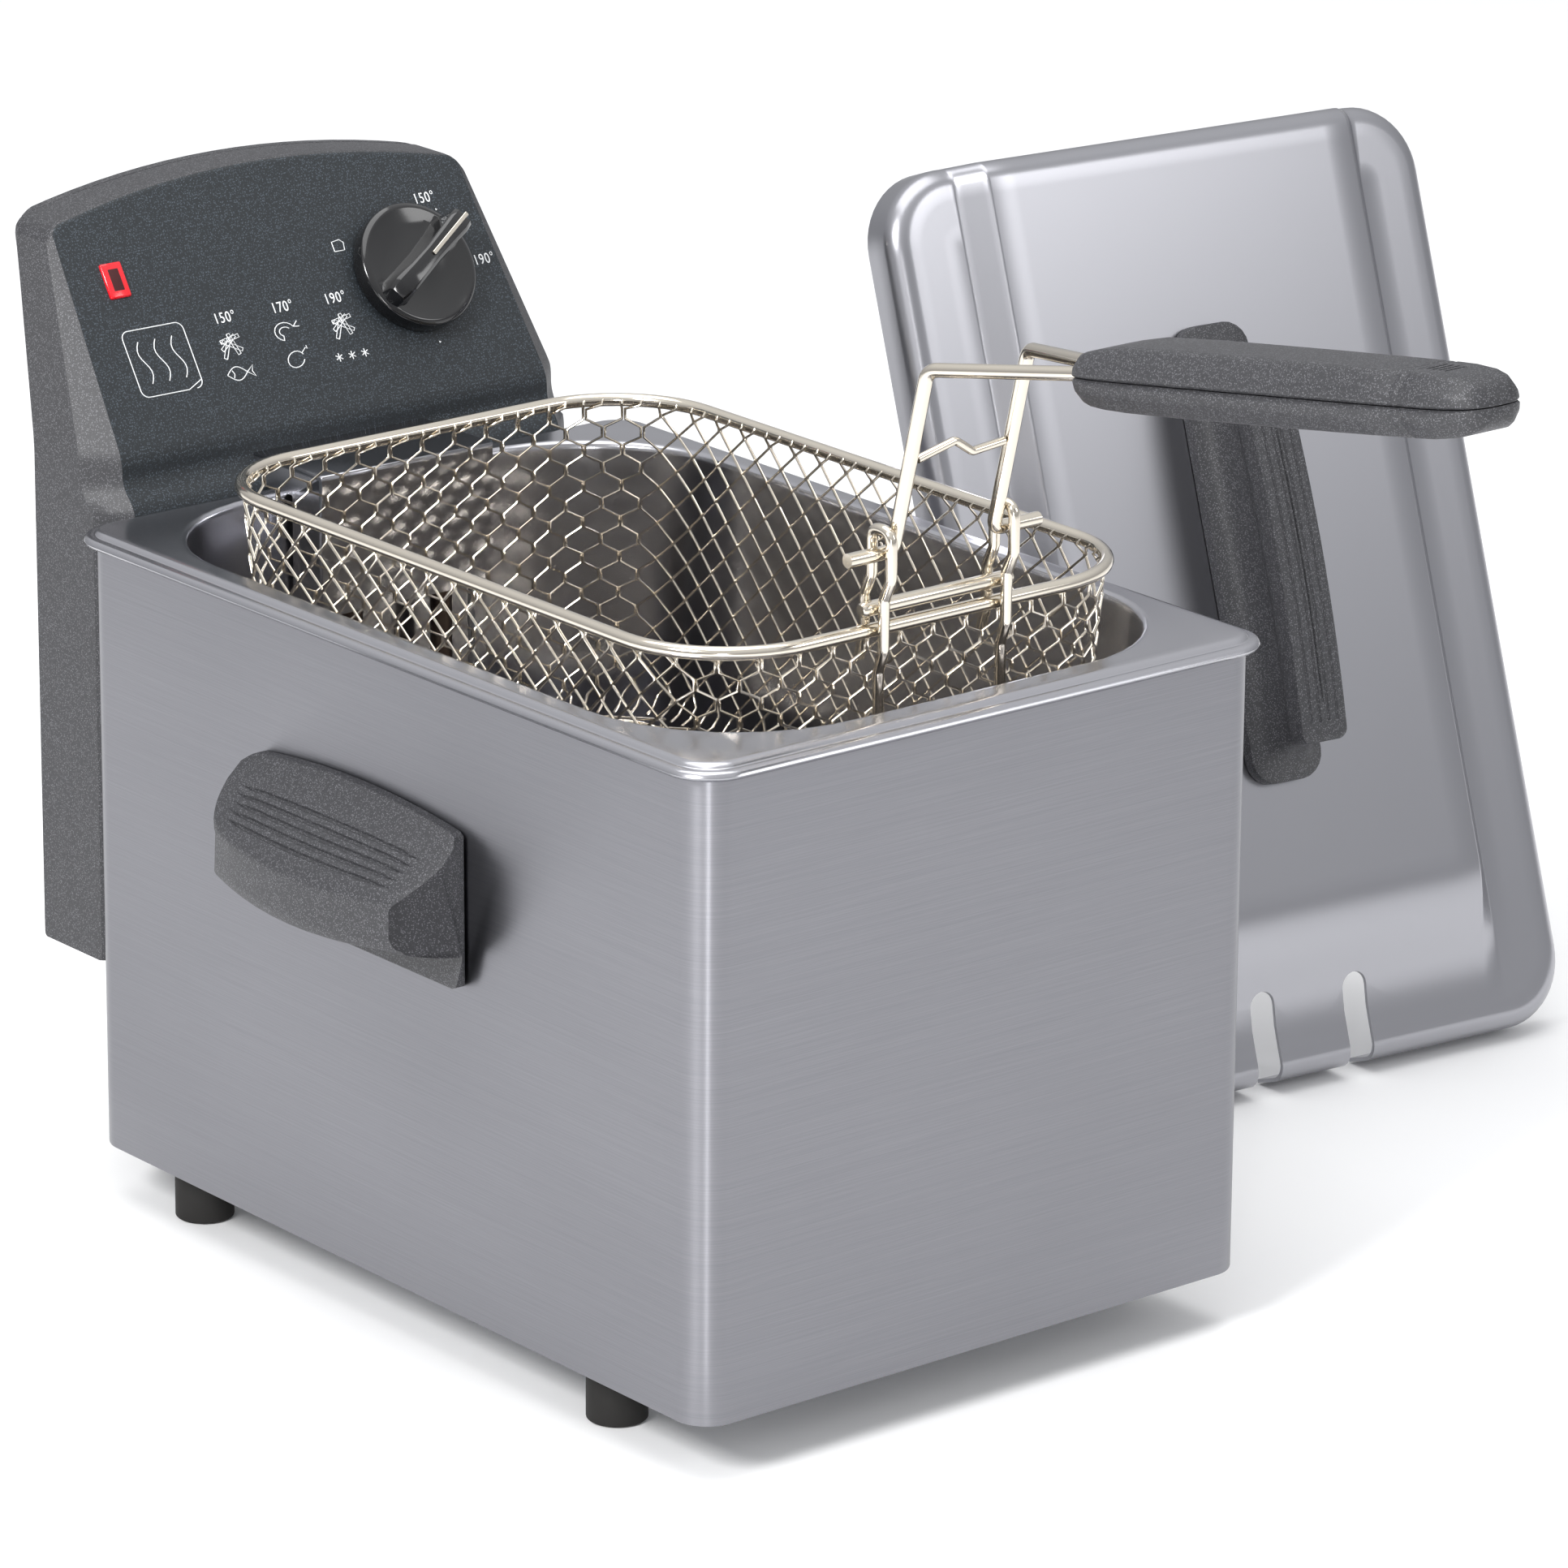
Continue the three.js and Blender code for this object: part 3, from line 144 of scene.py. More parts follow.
@dataclass(frozen=True)
class Finish:
    """One finish: what the part is made of and how its surface was made."""

    name: str
    slot: str
    color: str
    roughness: float
    metallic: float = 0.0
    coat: float = 0.0
    relief: float = 0.04
    mottle: float = 0.15

    def material(self) -> bpy.types.Material:
        """The finish's material, made once and shared."""
        made = bpy.data.materials.get(self.name)
        if made:
            return made
        made = bpy.data.materials.new(self.name)
        made.use_nodes = True
        tree = made.node_tree
        shader = tree.nodes["Principled BSDF"]
        shader.inputs["Base Color"].default_value = linear(self.color)
        shader.inputs["Roughness"].default_value = self.roughness
        shader.inputs["Metallic"].default_value = self.metallic
        shader.inputs["Coat Weight"].default_value = self.coat
        shader.inputs["Coat Roughness"].default_value = 0.12
        self.dress(tree, shader)
        return made

    def place(self, tree: bpy.types.NodeTree, per_metre: tuple[float, float, float]) -> bpy.types.NodeSocket:
        """The piece's own coordinates, stretched.

        Args:
            tree: the material's node tree.
            per_metre: how many units of the pattern go in a metre, along each axis.

        Returns:
            The vector socket.
        """
        spot = add_node(tree, "ShaderNodeTexCoord").outputs["Object"]
        return add_node(tree, "ShaderNodeMapping", inputs={"Vector": spot, "Scale": per_metre}).outputs["Vector"]

    def dress(self, tree: bpy.types.NodeTree, shader: bpy.types.Node) -> None:
        """Adds the faint mottle and unevenness that every made surface has."""
        spot = self.place(tree, (90.0, 90.0, 90.0))
        noise = add_node(tree, "ShaderNodeTexNoise", inputs={"Vector": spot, "Scale": 1.0, "Detail": 3.0})
        spread = add_node(tree, "ShaderNodeMapRange", inputs={
            "Value": noise.outputs["Fac"], "To Min": self.roughness * (1 - self.mottle),
            "To Max": self.roughness * (1 + self.mottle)})
        tree.links.new(spread.outputs["Result"], shader.inputs["Roughness"])
        bump = add_node(tree, "ShaderNodeBump", inputs={
            "Height": noise.outputs["Fac"], "Strength": self.relief, "Distance": 0.0005})
        tree.links.new(bump.outputs["Normal"], shader.inputs["Normal"])


@dataclass(frozen=True)
class LinedSteel(Finish):
    """Stainless sheet with a line finish: fine lines that run level round the piece."""

    lines_per_metre: float = 5200.0
    along: float = 26.0
    contrast: str = "#85858a"
    depth: float = 0.05

    def dress(self, tree: bpy.types.NodeTree, shader: bpy.types.Node) -> None:
        """Adds the lines to colour, gloss and relief."""
        fine = add_node(tree, "ShaderNodeTexNoise", inputs={
            "Vector": self.place(tree, (self.along, self.along, self.lines_per_metre)),
            "Scale": 1.0, "Detail": 4.0, "Roughness": 0.7}).outputs["Fac"]
        broad = add_node(tree, "ShaderNodeTexNoise", inputs={
            "Vector": self.place(tree, (5.0, 5.0, 9.0)), "Scale": 1.0, "Detail": 2.0}).outputs["Fac"]
        color = add_ramp(tree, fine, [(0.3, self.contrast), (0.7, self.color)])
        tree.links.new(color, shader.inputs["Base Color"])
        shader.inputs["Anisotropic"].default_value = 0.8
        shader.inputs["Anisotropic Rotation"].default_value = 0.25
        mixed = add_node(tree, "ShaderNodeMath", {"operation": "MULTIPLY"}, {0: fine, 1: broad})
        spread = add_node(tree, "ShaderNodeMapRange", inputs={
            "Value": mixed.outputs["Value"], "From Min": 0.1, "From Max": 0.4,
            "To Min": self.roughness - 0.05, "To Max": self.roughness + 0.05})
        tree.links.new(spread.outputs["Result"], shader.inputs["Roughness"])
        bump = add_node(tree, "ShaderNodeBump", inputs={
            "Height": fine, "Strength": self.depth, "Distance": 0.0002})
        tree.links.new(bump.outputs["Normal"], shader.inputs["Normal"])


@dataclass(frozen=True)
class FleckedPlastic(Finish):
    """Moulded plastic with mica in it: a dark ground with pale pinpoints, and a fine grain."""

    fleck: str = "#69696d"
    flecks_per_metre: float = 2200.0  # about 0.45 mm apart
    share: float = 0.3

    def dress(self, tree: bpy.types.NodeTree, shader: bpy.types.Node) -> None:
        """Adds the flecks and the grain."""
        spot = self.place(tree, (self.flecks_per_metre,) * 3)
        cells = add_node(tree, "ShaderNodeTexVoronoi", inputs={"Vector": spot, "Scale": 1.0})
        near = add_ramp(tree, cells.outputs["Distance"], [(0.2, "#ffffff"), (0.5, "#000000")])
        chosen = add_ramp(tree, cells.outputs["Color"], [(self.share, "#000000"), (self.share + 0.3, "#ffffff")])
        dots = add_node(tree, "ShaderNodeMath", {"operation": "MULTIPLY"}, {0: near, 1: chosen})
        color = add_node(tree, "ShaderNodeMix", {"data_type": "RGBA"}, {
            "Factor": dots.outputs["Value"], "A": linear(self.color), "B": linear(self.fleck)})
        tree.links.new(color.outputs["Result"], shader.inputs["Base Color"])
        grain = add_node(tree, "ShaderNodeTexNoise", inputs={
            "Vector": self.place(tree, (1500.0,) * 3), "Scale": 1.0, "Detail": 2.0}).outputs["Fac"]
        bump = add_node(tree, "ShaderNodeBump", inputs={
            "Height": grain, "Strength": 0.18, "Distance": 0.0003})
        tree.links.new(bump.outputs["Normal"], shader.inputs["Normal"])


CASING_STEEL = LinedSteel("line_finished_stainless", "brushed_steel", "#929297", 0.38, 1.0)
BOWL_STEEL = Finish("drawn_stainless", "drawn_steel", "#b8b8bd", 0.22, 1.0, relief=0.002, mottle=0.03)
LID_STEEL = Finish("satin_stainless", "lid_steel", "#a9a9ae", 0.28, 1.0, relief=0.001, mottle=0.01)
ZINC_STEEL = Finish("zinc_plated_steel", "plated_steel", "#9b9ca0", 0.38, 1.0)
CHROME = Finish("bright_plated_wire", "chrome_wire", "#e3dbcd", 0.13, 1.0)
CHARCOAL = FleckedPlastic("flecked_charcoal_polyamide", "charcoal_plastic", "#313134", 0.5)
PANEL_BLACK = FleckedPlastic(
    "flecked_black_panel", "charcoal_plastic", "#1b2024", 0.55, fleck="#4b545d", flecks_per_metre=2000.0)
GLOSS_BLACK = Finish("polished_black_phenolic", "gloss_plastic", "#0c0c0e", 0.12, coat=0.6)
RUBBER = Finish("moulded_black_rubber", "black_rubber", "#161412", 0.75)
RED_LENS = Finish("clear_red_acrylic", "red_plastic", "#e3061b", 0.16, coat=0.7)
# painted shade: a dark red patch for the shaded hollow seen through the middle of the lamp's lens
LENS_MIDDLE_PAINTED_SHADE = Finish("painted_shade_in_lens_middle", "red_plastic", "#3a0407", 0.7)
CREAM = Finish("cream_heatproof_moulding", "cream_plastic", "#d8d0bf", 0.5)
TUBE_METAL = Finish("heat_darkened_tube", "element_metal", "#5c5048", 0.42, 1.0)
INK = Finish("white_screen_print", "cream_plastic", "#e9ebec", 0.55)


# ---- Making and shaping


def deselect() -> None:
    """Leaves edit mode and clears the selection."""
    if bpy.context.object and bpy.context.object.mode != "OBJECT":
        bpy.ops.object.mode_set(mode="OBJECT")
    bpy.ops.object.select_all(action="DESELECT")


def hold(piece: bpy.types.Object) -> None:
    """Makes one piece the only selected and the active one."""
    deselect()
    piece.select_set(True)
    bpy.context.view_layer.objects.active = piece


@contextmanager
def editing(piece: bpy.types.Object) -> Iterator[None]:
    """Edit mode for one piece, with all of it selected."""
    hold(piece)
    bpy.ops.object.mode_set(mode="EDIT")
    bpy.ops.mesh.select_all(action="SELECT")
    yield
    bpy.ops.object.mode_set(mode="OBJECT")


def pick_faces(piece: bpy.types.Object, test: Callable[[bmesh.types.BMFace], bool]) -> None:
    """Selects the faces that pass a test, in edit mode."""
    bpy.ops.mesh.select_mode(type="FACE")
    bpy.ops.mesh.select_all(action="DESELECT")
    mesh = bmesh.from_edit_mesh(piece.data)
    for face in mesh.faces:
        face.select_set(test(face))
    bmesh.update_edit_mesh(piece.data)


def freeze(piece: bpy.types.Object) -> None:
    """Moves a piece's place, turn and size into its mesh."""
    hold(piece)
    bpy.ops.object.transform_apply(location=True, rotation=True, scale=True)


def add_block(size: Sequence[float], middle: Sequence[float] = (0, 0, 0), tilt: float = 0.0) -> bpy.types.Object:
    """Adds a block.

    Args:
        size: its size along each axis.
        middle: where its middle is.
        tilt: how far it is turned about X, in degrees.

    Returns:
        The block.
    """
    deselect()
    bpy.ops.mesh.primitive_cube_add(size=MM)
    piece = bpy.context.object
    piece.scale = size
    piece.rotation_euler = (math.radians(tilt), 0, 0)
    piece.location = [place * MM for place in middle]
    freeze(piece)
    return piece


def add_cylinder(radius: float, tall: float, middle: Sequence[float], spokes: int) -> bpy.types.Object:
    """Adds an upright cylinder.

    Args:
        radius: its radius.
        tall: its height.
        middle: where its middle is.
        spokes: how many sides it has.

    Returns:
        The cylinder.
    """
    deselect()
    bpy.ops.mesh.primitive_cylinder_add(
        vertices=spokes, radius=radius * MM, depth=tall * MM, location=[place * MM for place in middle])
    piece = bpy.context.object
    freeze(piece)
    return piece


def move_by(piece: bpy.types.Object, matrix: Matrix) -> None:
    """Places a piece with a matrix whose distances are in millimetres."""
    place = matrix.copy()
    place.translation = place.translation * MM
    piece.matrix_world = place @ piece.matrix_world
    freeze(piece)


def modify(piece: bpy.types.Object, kind: str, **settings: object) -> None:
    """Adds a modifier, sets it and applies it.

    Args:
        piece: the piece to change.
        kind: the modifier's type.
        settings: its properties.
    """
    hold(piece)
    modifier = piece.modifiers.new(kind.lower(), kind)
    for name, value in settings.items():
        setattr(modifier, name, value)
    bpy.ops.object.modifier_apply(modifier=modifier.name)


def round_edges(piece: bpy.types.Object, width: float, segments: int = 2, angle: float = 35.0) -> None:
    """Rounds a piece's sharp edges.

    Args:
        piece: the piece to change.
        width: the rounding, in millimetres.
        segments: how finely.
        angle: edges sharper than this are rounded, in degrees.
    """
    modify(piece, "BEVEL", width=width * MM, segments=segments, limit_method="ANGLE",
           angle_limit=math.radians(angle), use_clamp_overlap=True, miter_outer="MITER_ARC")


def smooth(piece: bpy.types.Object, angle: float = 32.0) -> None:
    """Shades a piece smooth across edges flatter than angle degrees."""
    hold(piece)
    bpy.ops.object.shade_smooth_by_angle(angle=math.radians(angle))


def combine(piece: bpy.types.Object, tool: bpy.types.Object, operation: str) -> None:
    """Joins or cuts a piece with a tool, which is then removed.

    Args:
        piece: the piece to change.
        tool: the other solid.
        operation: UNION, DIFFERENCE or INTERSECT.
    """
    modify(piece, "BOOLEAN", operation=operation, object=tool, solver="EXACT")
    bpy.data.objects.remove(tool, do_unlink=True)


def lay_grid(columns: int, rows: int, place: Callable[[int, int], Vector], wrap: bool = True,
             cap: bool = False) -> bpy.types.Object:
    """Adds a grid and lays its points on a shape, row by row.

    Args:
        columns: points in each row.
        rows: how many rows.
        place: gives the point of a column and a row, in millimetres.
        wrap: whether each row closes on itself.
        cap: whether the open ends are filled.

    Returns:
        The piece, its faces pointing outwards if it is closed.
    """
    deselect()
    across = columns + 1 if wrap else columns
    bpy.ops.mesh.primitive_grid_add(x_subdivisions=across - 1, y_subdivisions=rows - 1, size=1)
    piece = bpy.context.object
    for number, vertex in enumerate(piece.data.vertices):
        vertex.co = place(number % across % columns, number // across) * MM
    with editing(piece):
        bpy.ops.mesh.remove_doubles(threshold=MERGE * MM)
        if cap:
            bpy.ops.mesh.select_all(action="DESELECT")
            bpy.ops.mesh.select_mode(type="EDGE")
            bpy.ops.mesh.select_non_manifold()
            bpy.ops.mesh.fill_holes(sides=0)
            bpy.ops.mesh.select_all(action="SELECT")
            bpy.ops.mesh.normals_make_consistent(inside=False)
    return piece


def arc(x: float, y: float, radius: float, start: float, steps: int, sweep: float = 90.0) -> list[Pair]:
    """Points along an arc.

    Args:
        x: its centre across.
        y: its centre along.
        radius: its radius.
        start: where it starts, in degrees.
        steps: how many segments it has.
        sweep: how far it goes, in degrees.

    Returns:
        Its points, both ends included.
    """
    turns = [math.radians(start + sweep * i / steps) for i in range(steps + 1)]
    return [(x + radius * math.cos(turn), y + radius * math.sin(turn)) for turn in turns]


def outline(half_x: float, half_y: float, corner: float, middle_y: float = 0.0, steps: int = 10,
            straight: int = 6) -> list[Pair]:
    """A rounded rectangle, always with the same number of points for the same steps.

    Args:
        half_x: half the width.
        half_y: half the depth.
        corner: the corner radius.
        middle_y: where its middle is.
        steps: segments in each corner.
        straight: segments in each straight side.

    Returns:
        Its points, anticlockwise from above.
    """
    radius = max(corner, 0.05)
    arcs = [arc(sx * (half_x - radius), middle_y + sy * (half_y - radius), radius, start, steps)
            for sx, sy, start in CORNERS]
    points: list[Pair] = []
    for number, bend in enumerate(arcs):
        (from_x, from_y), (to_x, to_y) = bend[-1], arcs[(number + 1) % 4][0]
        points += bend
        points += [(from_x + (to_x - from_x) * i / straight, from_y + (to_y - from_y) * i / straight)
                   for i in range(1, straight)]
    return points


def skin(rings: Sequence[Sequence[Vector]], wrap: bool = True, cap: bool = False) -> bpy.types.Object:
    """Lays one surface over rings that have the same number of points."""
    return lay_grid(len(rings[0]), len(rings), lambda i, j: rings[j][i], wrap, cap)


def ease(value: float, low: float, high: float) -> float:
    """Goes smoothly from 0 at low to 1 at high."""
    part = min(max((value - low) / (high - low), 0.0), 1.0)
    return part * part * (3 - 2 * part)


def round_path(points: Sequence[Vector], radius: float | Sequence[float], steps: int = 5,
               closed: bool = False) -> Path:
    """Rounds the corners of a path.

    Args:
        points: the path's corners.
        radius: one radius, or one for each corner.
        steps: segments in each corner.
        closed: whether the last point joins the first.

    Returns:
        The points of the rounded path.
    """
    count = len(points)
    made: Path = []
    for number, point in enumerate(points):
        if not closed and number in (0, count - 1):
            made.append(point.copy())
            continue
        before, after = points[number - 1], points[(number + 1) % count]
        back, on = before - point, after - point
        wanted = radius if isinstance(radius, (int, float)) else radius[number]
        half = back.angle(on) / 2
        reach = min(wanted / max(math.tan(half), 0.05), back.length * 0.48, on.length * 0.48)
        start, end = point + back.normalized() * reach, point + on.normalized() * reach
        for i in range(steps + 1):
            t = i / steps
            made.append(start * (1 - t) ** 2 + point * 2 * t * (1 - t) + end * t * t)
    return made


def make_wires(paths: Iterable[Path], radius: float, sides: int = 4, closed: bool = False) -> bpy.types.Object:
    """Makes round wires along paths, as one mesh.

    Args:
        paths: the centre lines.
        radius: the wire's radius.
        sides: how finely the wire is rounded.
        closed: whether each wire is a hoop.

    Returns:
        The wires' mesh.
    """
    deselect()
    curve = bpy.data.curves.new("wires", "CURVE")
    curve.dimensions = "3D"
    curve.bevel_depth = radius * MM
    curve.bevel_resolution = sides
    curve.use_fill_caps = not closed
    for path in paths:
        line = curve.splines.new("POLY")
        line.points.add(len(path) - 1)
        line.use_cyclic_u = closed
        for point, place in zip(line.points, path):
            point.co = (*(place * MM), 1.0)
    piece = bpy.data.objects.new("wires", curve)
    bpy.context.scene.collection.objects.link(piece)
    hold(piece)
    bpy.ops.object.convert(target="MESH")
    return bpy.context.object


def settle(piece: bpy.types.Object, name: str, body: Body, finishes: Finish | Sequence[Finish],
           *nodes: str) -> bpy.types.Object:
    """Names, dresses and hands over a finished piece.

    Args:
        piece: the piece.
        name: its name.
        body: the body it rides on.
        finishes: its finish, or several in the order of its material numbers.
        nodes: the solids it stands for.

    Returns:
        The piece.
    """
    several = [finishes] if isinstance(finishes, Finish) else list(finishes)
    piece.name = name
    piece.data.name = name
    if len(piece.data.materials) == 0:
        for finish in several:
            piece.data.materials.append(finish.material())
    if nodes:
        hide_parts(*nodes)
    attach(piece, body.value)
    LOG.info("%s rides on %s, %d faces", name, body.value, len(piece.data.polygons))
    return piece


def settle_wire(paths: Iterable[Path], radius: float, sides: int, name: str, body: Body, node: str,
                closed: bool = False) -> None:
    """Makes wires, as make_wires does, and hands them over bright plated.

    Args:
        paths: the centre lines.
        radius: the wire's radius.
        sides: how finely the wire is rounded.
        name: the piece's name.
        body: the body it rides on.
        node: the solid it stands for.
        closed: whether each wire is a hoop.
    """
    piece = make_wires(paths, radius, sides, closed)
    smooth(piece, WIRE_ANGLE)
    settle(piece, name, body, CHROME, node)


def refine(node: str, body: Body, finish: Finish, angle: float = 40.0) -> None:
    """Stands a merged, smoothly shaded copy in for a solid whose shape is already right.

    Args:
        node: the solid.
        body: the body it rides on.
        finish: its finish.
        angle: edges flatter than this are shaded smooth, in degrees.
    """
    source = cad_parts[node]
    piece = source.copy()
    piece.data = source.data.copy()
    piece.parent = None
    piece.matrix_world = Matrix.Identity(4)
    bpy.context.scene.collection.objects.link(piece)
    piece.data.materials.clear()
    with editing(piece):
        bpy.ops.mesh.remove_doubles(threshold=MERGE / 2 * MM)
        bpy.ops.mesh.tris_convert_to_quads()
    smooth(piece, angle)
    settle(piece, f"{node}_piece", body, finish, node)


# ---- Base


@dataclass
class Base:
    """The steel casing with its plate, feet, side grips and the rails that the head slides on."""

    half_x: float = 96.8
    half_y: float = 140.4
    height: float = 179.7
    corner: float = 10.0
    wall: float = 1.0
    foot_x: float = 81.8
    foot_front: float = -85.4
    foot_rear: float = 107.4
    foot_radius: float = 8.5
    foot_height: float = 17.0
    foot_gap: float = 0.3
    foot_rim: float = 3.7
    foot_recess: float = 4.0
    grip_length: float = 100.0
    grip_height: float = 47.5
    grip_reach: float = 26.0
    grip_end_reach: float = 21.0
    grip_plate: float = 3.5
    grip_bottom: float = 96.0
    grip_middle: float = 8.0
    grooves: int = 5
    groove_depth: float = 0.85

    def build(self) -> None:
        """Builds every piece of the base."""
        self.casing()
        for side in Side:
            self.grip(side)
            for row, y in (("front", self.foot_front), ("rear", self.foot_rear)):
                self.foot(f"{row}_{side.word}", side.value * self.foot_x, y)
                refine(f"foot_screw_{row}_{side.word}", Body.BASE, ZINC_STEEL)
                refine(f"grip_screw_{side.word}_{row}", Body.BASE, ZINC_STEEL)
            refine(f"hanger_rail_{side.word}", Body.BASE, ZINC_STEEL)
        refine("base_plate", Body.BASE, ZINC_STEEL)

    def casing(self) -> None:
        """The casing: one sheet round four corners, with a softened hem."""
        levels = [(0.2, 0.0), (0.0, 0.5), (0.0, 20.0), (0.0, 90.0), (0.0, 160.0), (0.0, self.height)]
        rings = [[Vector((x, y, z)) for x, y in outline(
            self.half_x - inset, self.half_y - inset, self.corner - inset)] for inset, z in levels]
        piece = skin(rings)
        modify(piece, "SOLIDIFY", thickness=self.wall * MM, offset=-1.0)
        smooth(piece)
        settle(piece, "casing_sheet", Body.BASE, CASING_STEEL, "outer_casing")

    def foot(self, place: str, x: float, y: float) -> None:
        """A rubber foot with the recess for its screw.

        Args:
            place: the foot's place, as in its node's name.
            x: its place across.
            y: its place along.
        """
        tall = self.foot_height - self.foot_gap
        piece = add_cylinder(self.foot_radius, tall, (x, y, -self.foot_gap - tall / 2), 48)
        with editing(piece):
            pick_faces(piece, lambda face: face.normal.z < -0.9)
            bpy.ops.mesh.inset(thickness=self.foot_rim * MM)
            bpy.ops.mesh.extrude_region_move(TRANSFORM_OT_translate={"value": (0, 0, self.foot_recess * MM)})
        round_edges(piece, 0.7, 3)
        smooth(piece)
        settle(piece, f"rubber_foot_{place}", Body.BASE, RUBBER, f"foot_{place}")

    def grip(self, side: Side) -> None:
        """A side grip: a bowed nose with a finger recess under it and ribbed grooves on its slope.

        Args:
            side: left or right.
        """
        plate, reach, tall = self.grip_plate, self.grip_reach, self.grip_height
        low = [(0, 0), (plate, 0), (plate, 10), (plate + 1.5, 17), (plate + 6.5, 21.5), (plate + 12.5, 21),
               (reach - 6, 17), (reach - 4, 13.4), (reach - 1.0, 13.2), (reach - 0.1, 16)]
        nose = [(reach - 0.1, 25.5), (reach - 2.6, 28.6)]
        top = [(plate + 2.2, tall - 2.4), (plate - 0.4, tall - 0.2), (0, tall - 0.2)]
        flat = [Vector((d, 0, z)) for d, z in low + nose + top]
        bends = [0.2, 0.6, 8, 5, 5, 7, 6, 1.2, 1.5, 3, 4, 3.5, 5, 1.6, 0.2]
        path = round_path(flat, bends, 4, closed=True)
        start, end = Vector((nose[1][0], 0, nose[1][1])), Vector((top[0][0], 0, top[0][1]))
        slope = (end - start).normalized()
        out = Vector((slope.z, 0, -slope.x))
        section: list[tuple[Vector, float]] = []
        for number, point in enumerate(path):
            section.append((point, 0.0))
            following = path[(number + 1) % len(path)]
            if (following - point).length > 12 and (following - point).normalized().dot(slope) > 0.98:
                steps = self.grooves * 8
                for i in range(1, steps):
                    share = i / steps
                    wave = ease(-math.cos(share * self.grooves * 2 * math.pi), 0.0, 0.9)
                    section.append((point.lerp(following, 0.03 + 0.66 * share), wave))
        half = self.grip_length / 2
        shares = [-1.0, -0.992, -0.975, -0.94, -0.9, -0.85, -0.8, -0.76, -0.7, -0.6, -0.4, -0.2,
                  0.0, 0.2, 0.4, 0.6, 0.7, 0.76, 0.8, 0.85, 0.9, 0.94, 0.975, 0.992, 1.0]
        core = Vector((11.0, 0, 26.0))

        def place(i: int, j: int) -> Vector:
            point, wave = section[i]
            share = shares[j]
            point = point.lerp(core, 0.03 * ease(abs(share), 0.97, 1.0))
            bow = self.grip_reach - (self.grip_reach - self.grip_end_reach) * share * share
            beyond = max(point.x - plate, 0.0) / (reach - plate)
            away = min(point.x, plate) + beyond * (bow - plate)
            shrink = 13.0 * (1 - math.sqrt(max(0.0, 1 - min(beyond, 1.0) ** 2)))
            shrink += 4.5 * ease(point.z, 41, 48) ** 2 + 4.0 * (1 - ease(point.z, 0, 5)) ** 2
            height = point.z - 3.2 * share * share * ease(point.z, 28, 46)
            if plate + 0.5 < point.x < reach - 3 and 11 < point.z < 22:
                filled = 10.5 + 2.5 * beyond
                height += (min(filled, point.z) - point.z) * ease(abs(share), 0.74, 0.93)
            lip = ease(point.x, plate + 8, reach - 3) * (1 - ease(point.z, 14, 24))
            height -= 2.6 * (1 - share * share) * lip
            window = 1 - ease(abs(share), 0.7 + 0.05 * (i % 2), 0.8 + 0.05 * (i % 2))
            spot = Vector((away, 0, height)) - out * (self.groove_depth * wave * window)
            return Vector((side.value * (self.half_x + 0.3 + spot.x), self.grip_middle + share * (half - shrink),
                           self.grip_bottom + spot.z))

        piece = lay_grid(len(section), len(shares), place, cap=True)
        smooth(piece, 38)
        settle(piece, f"grip_{side.word}", Body.BASE, CHARCOAL, f"side_grip_{side.word}")


# ---- Bowl


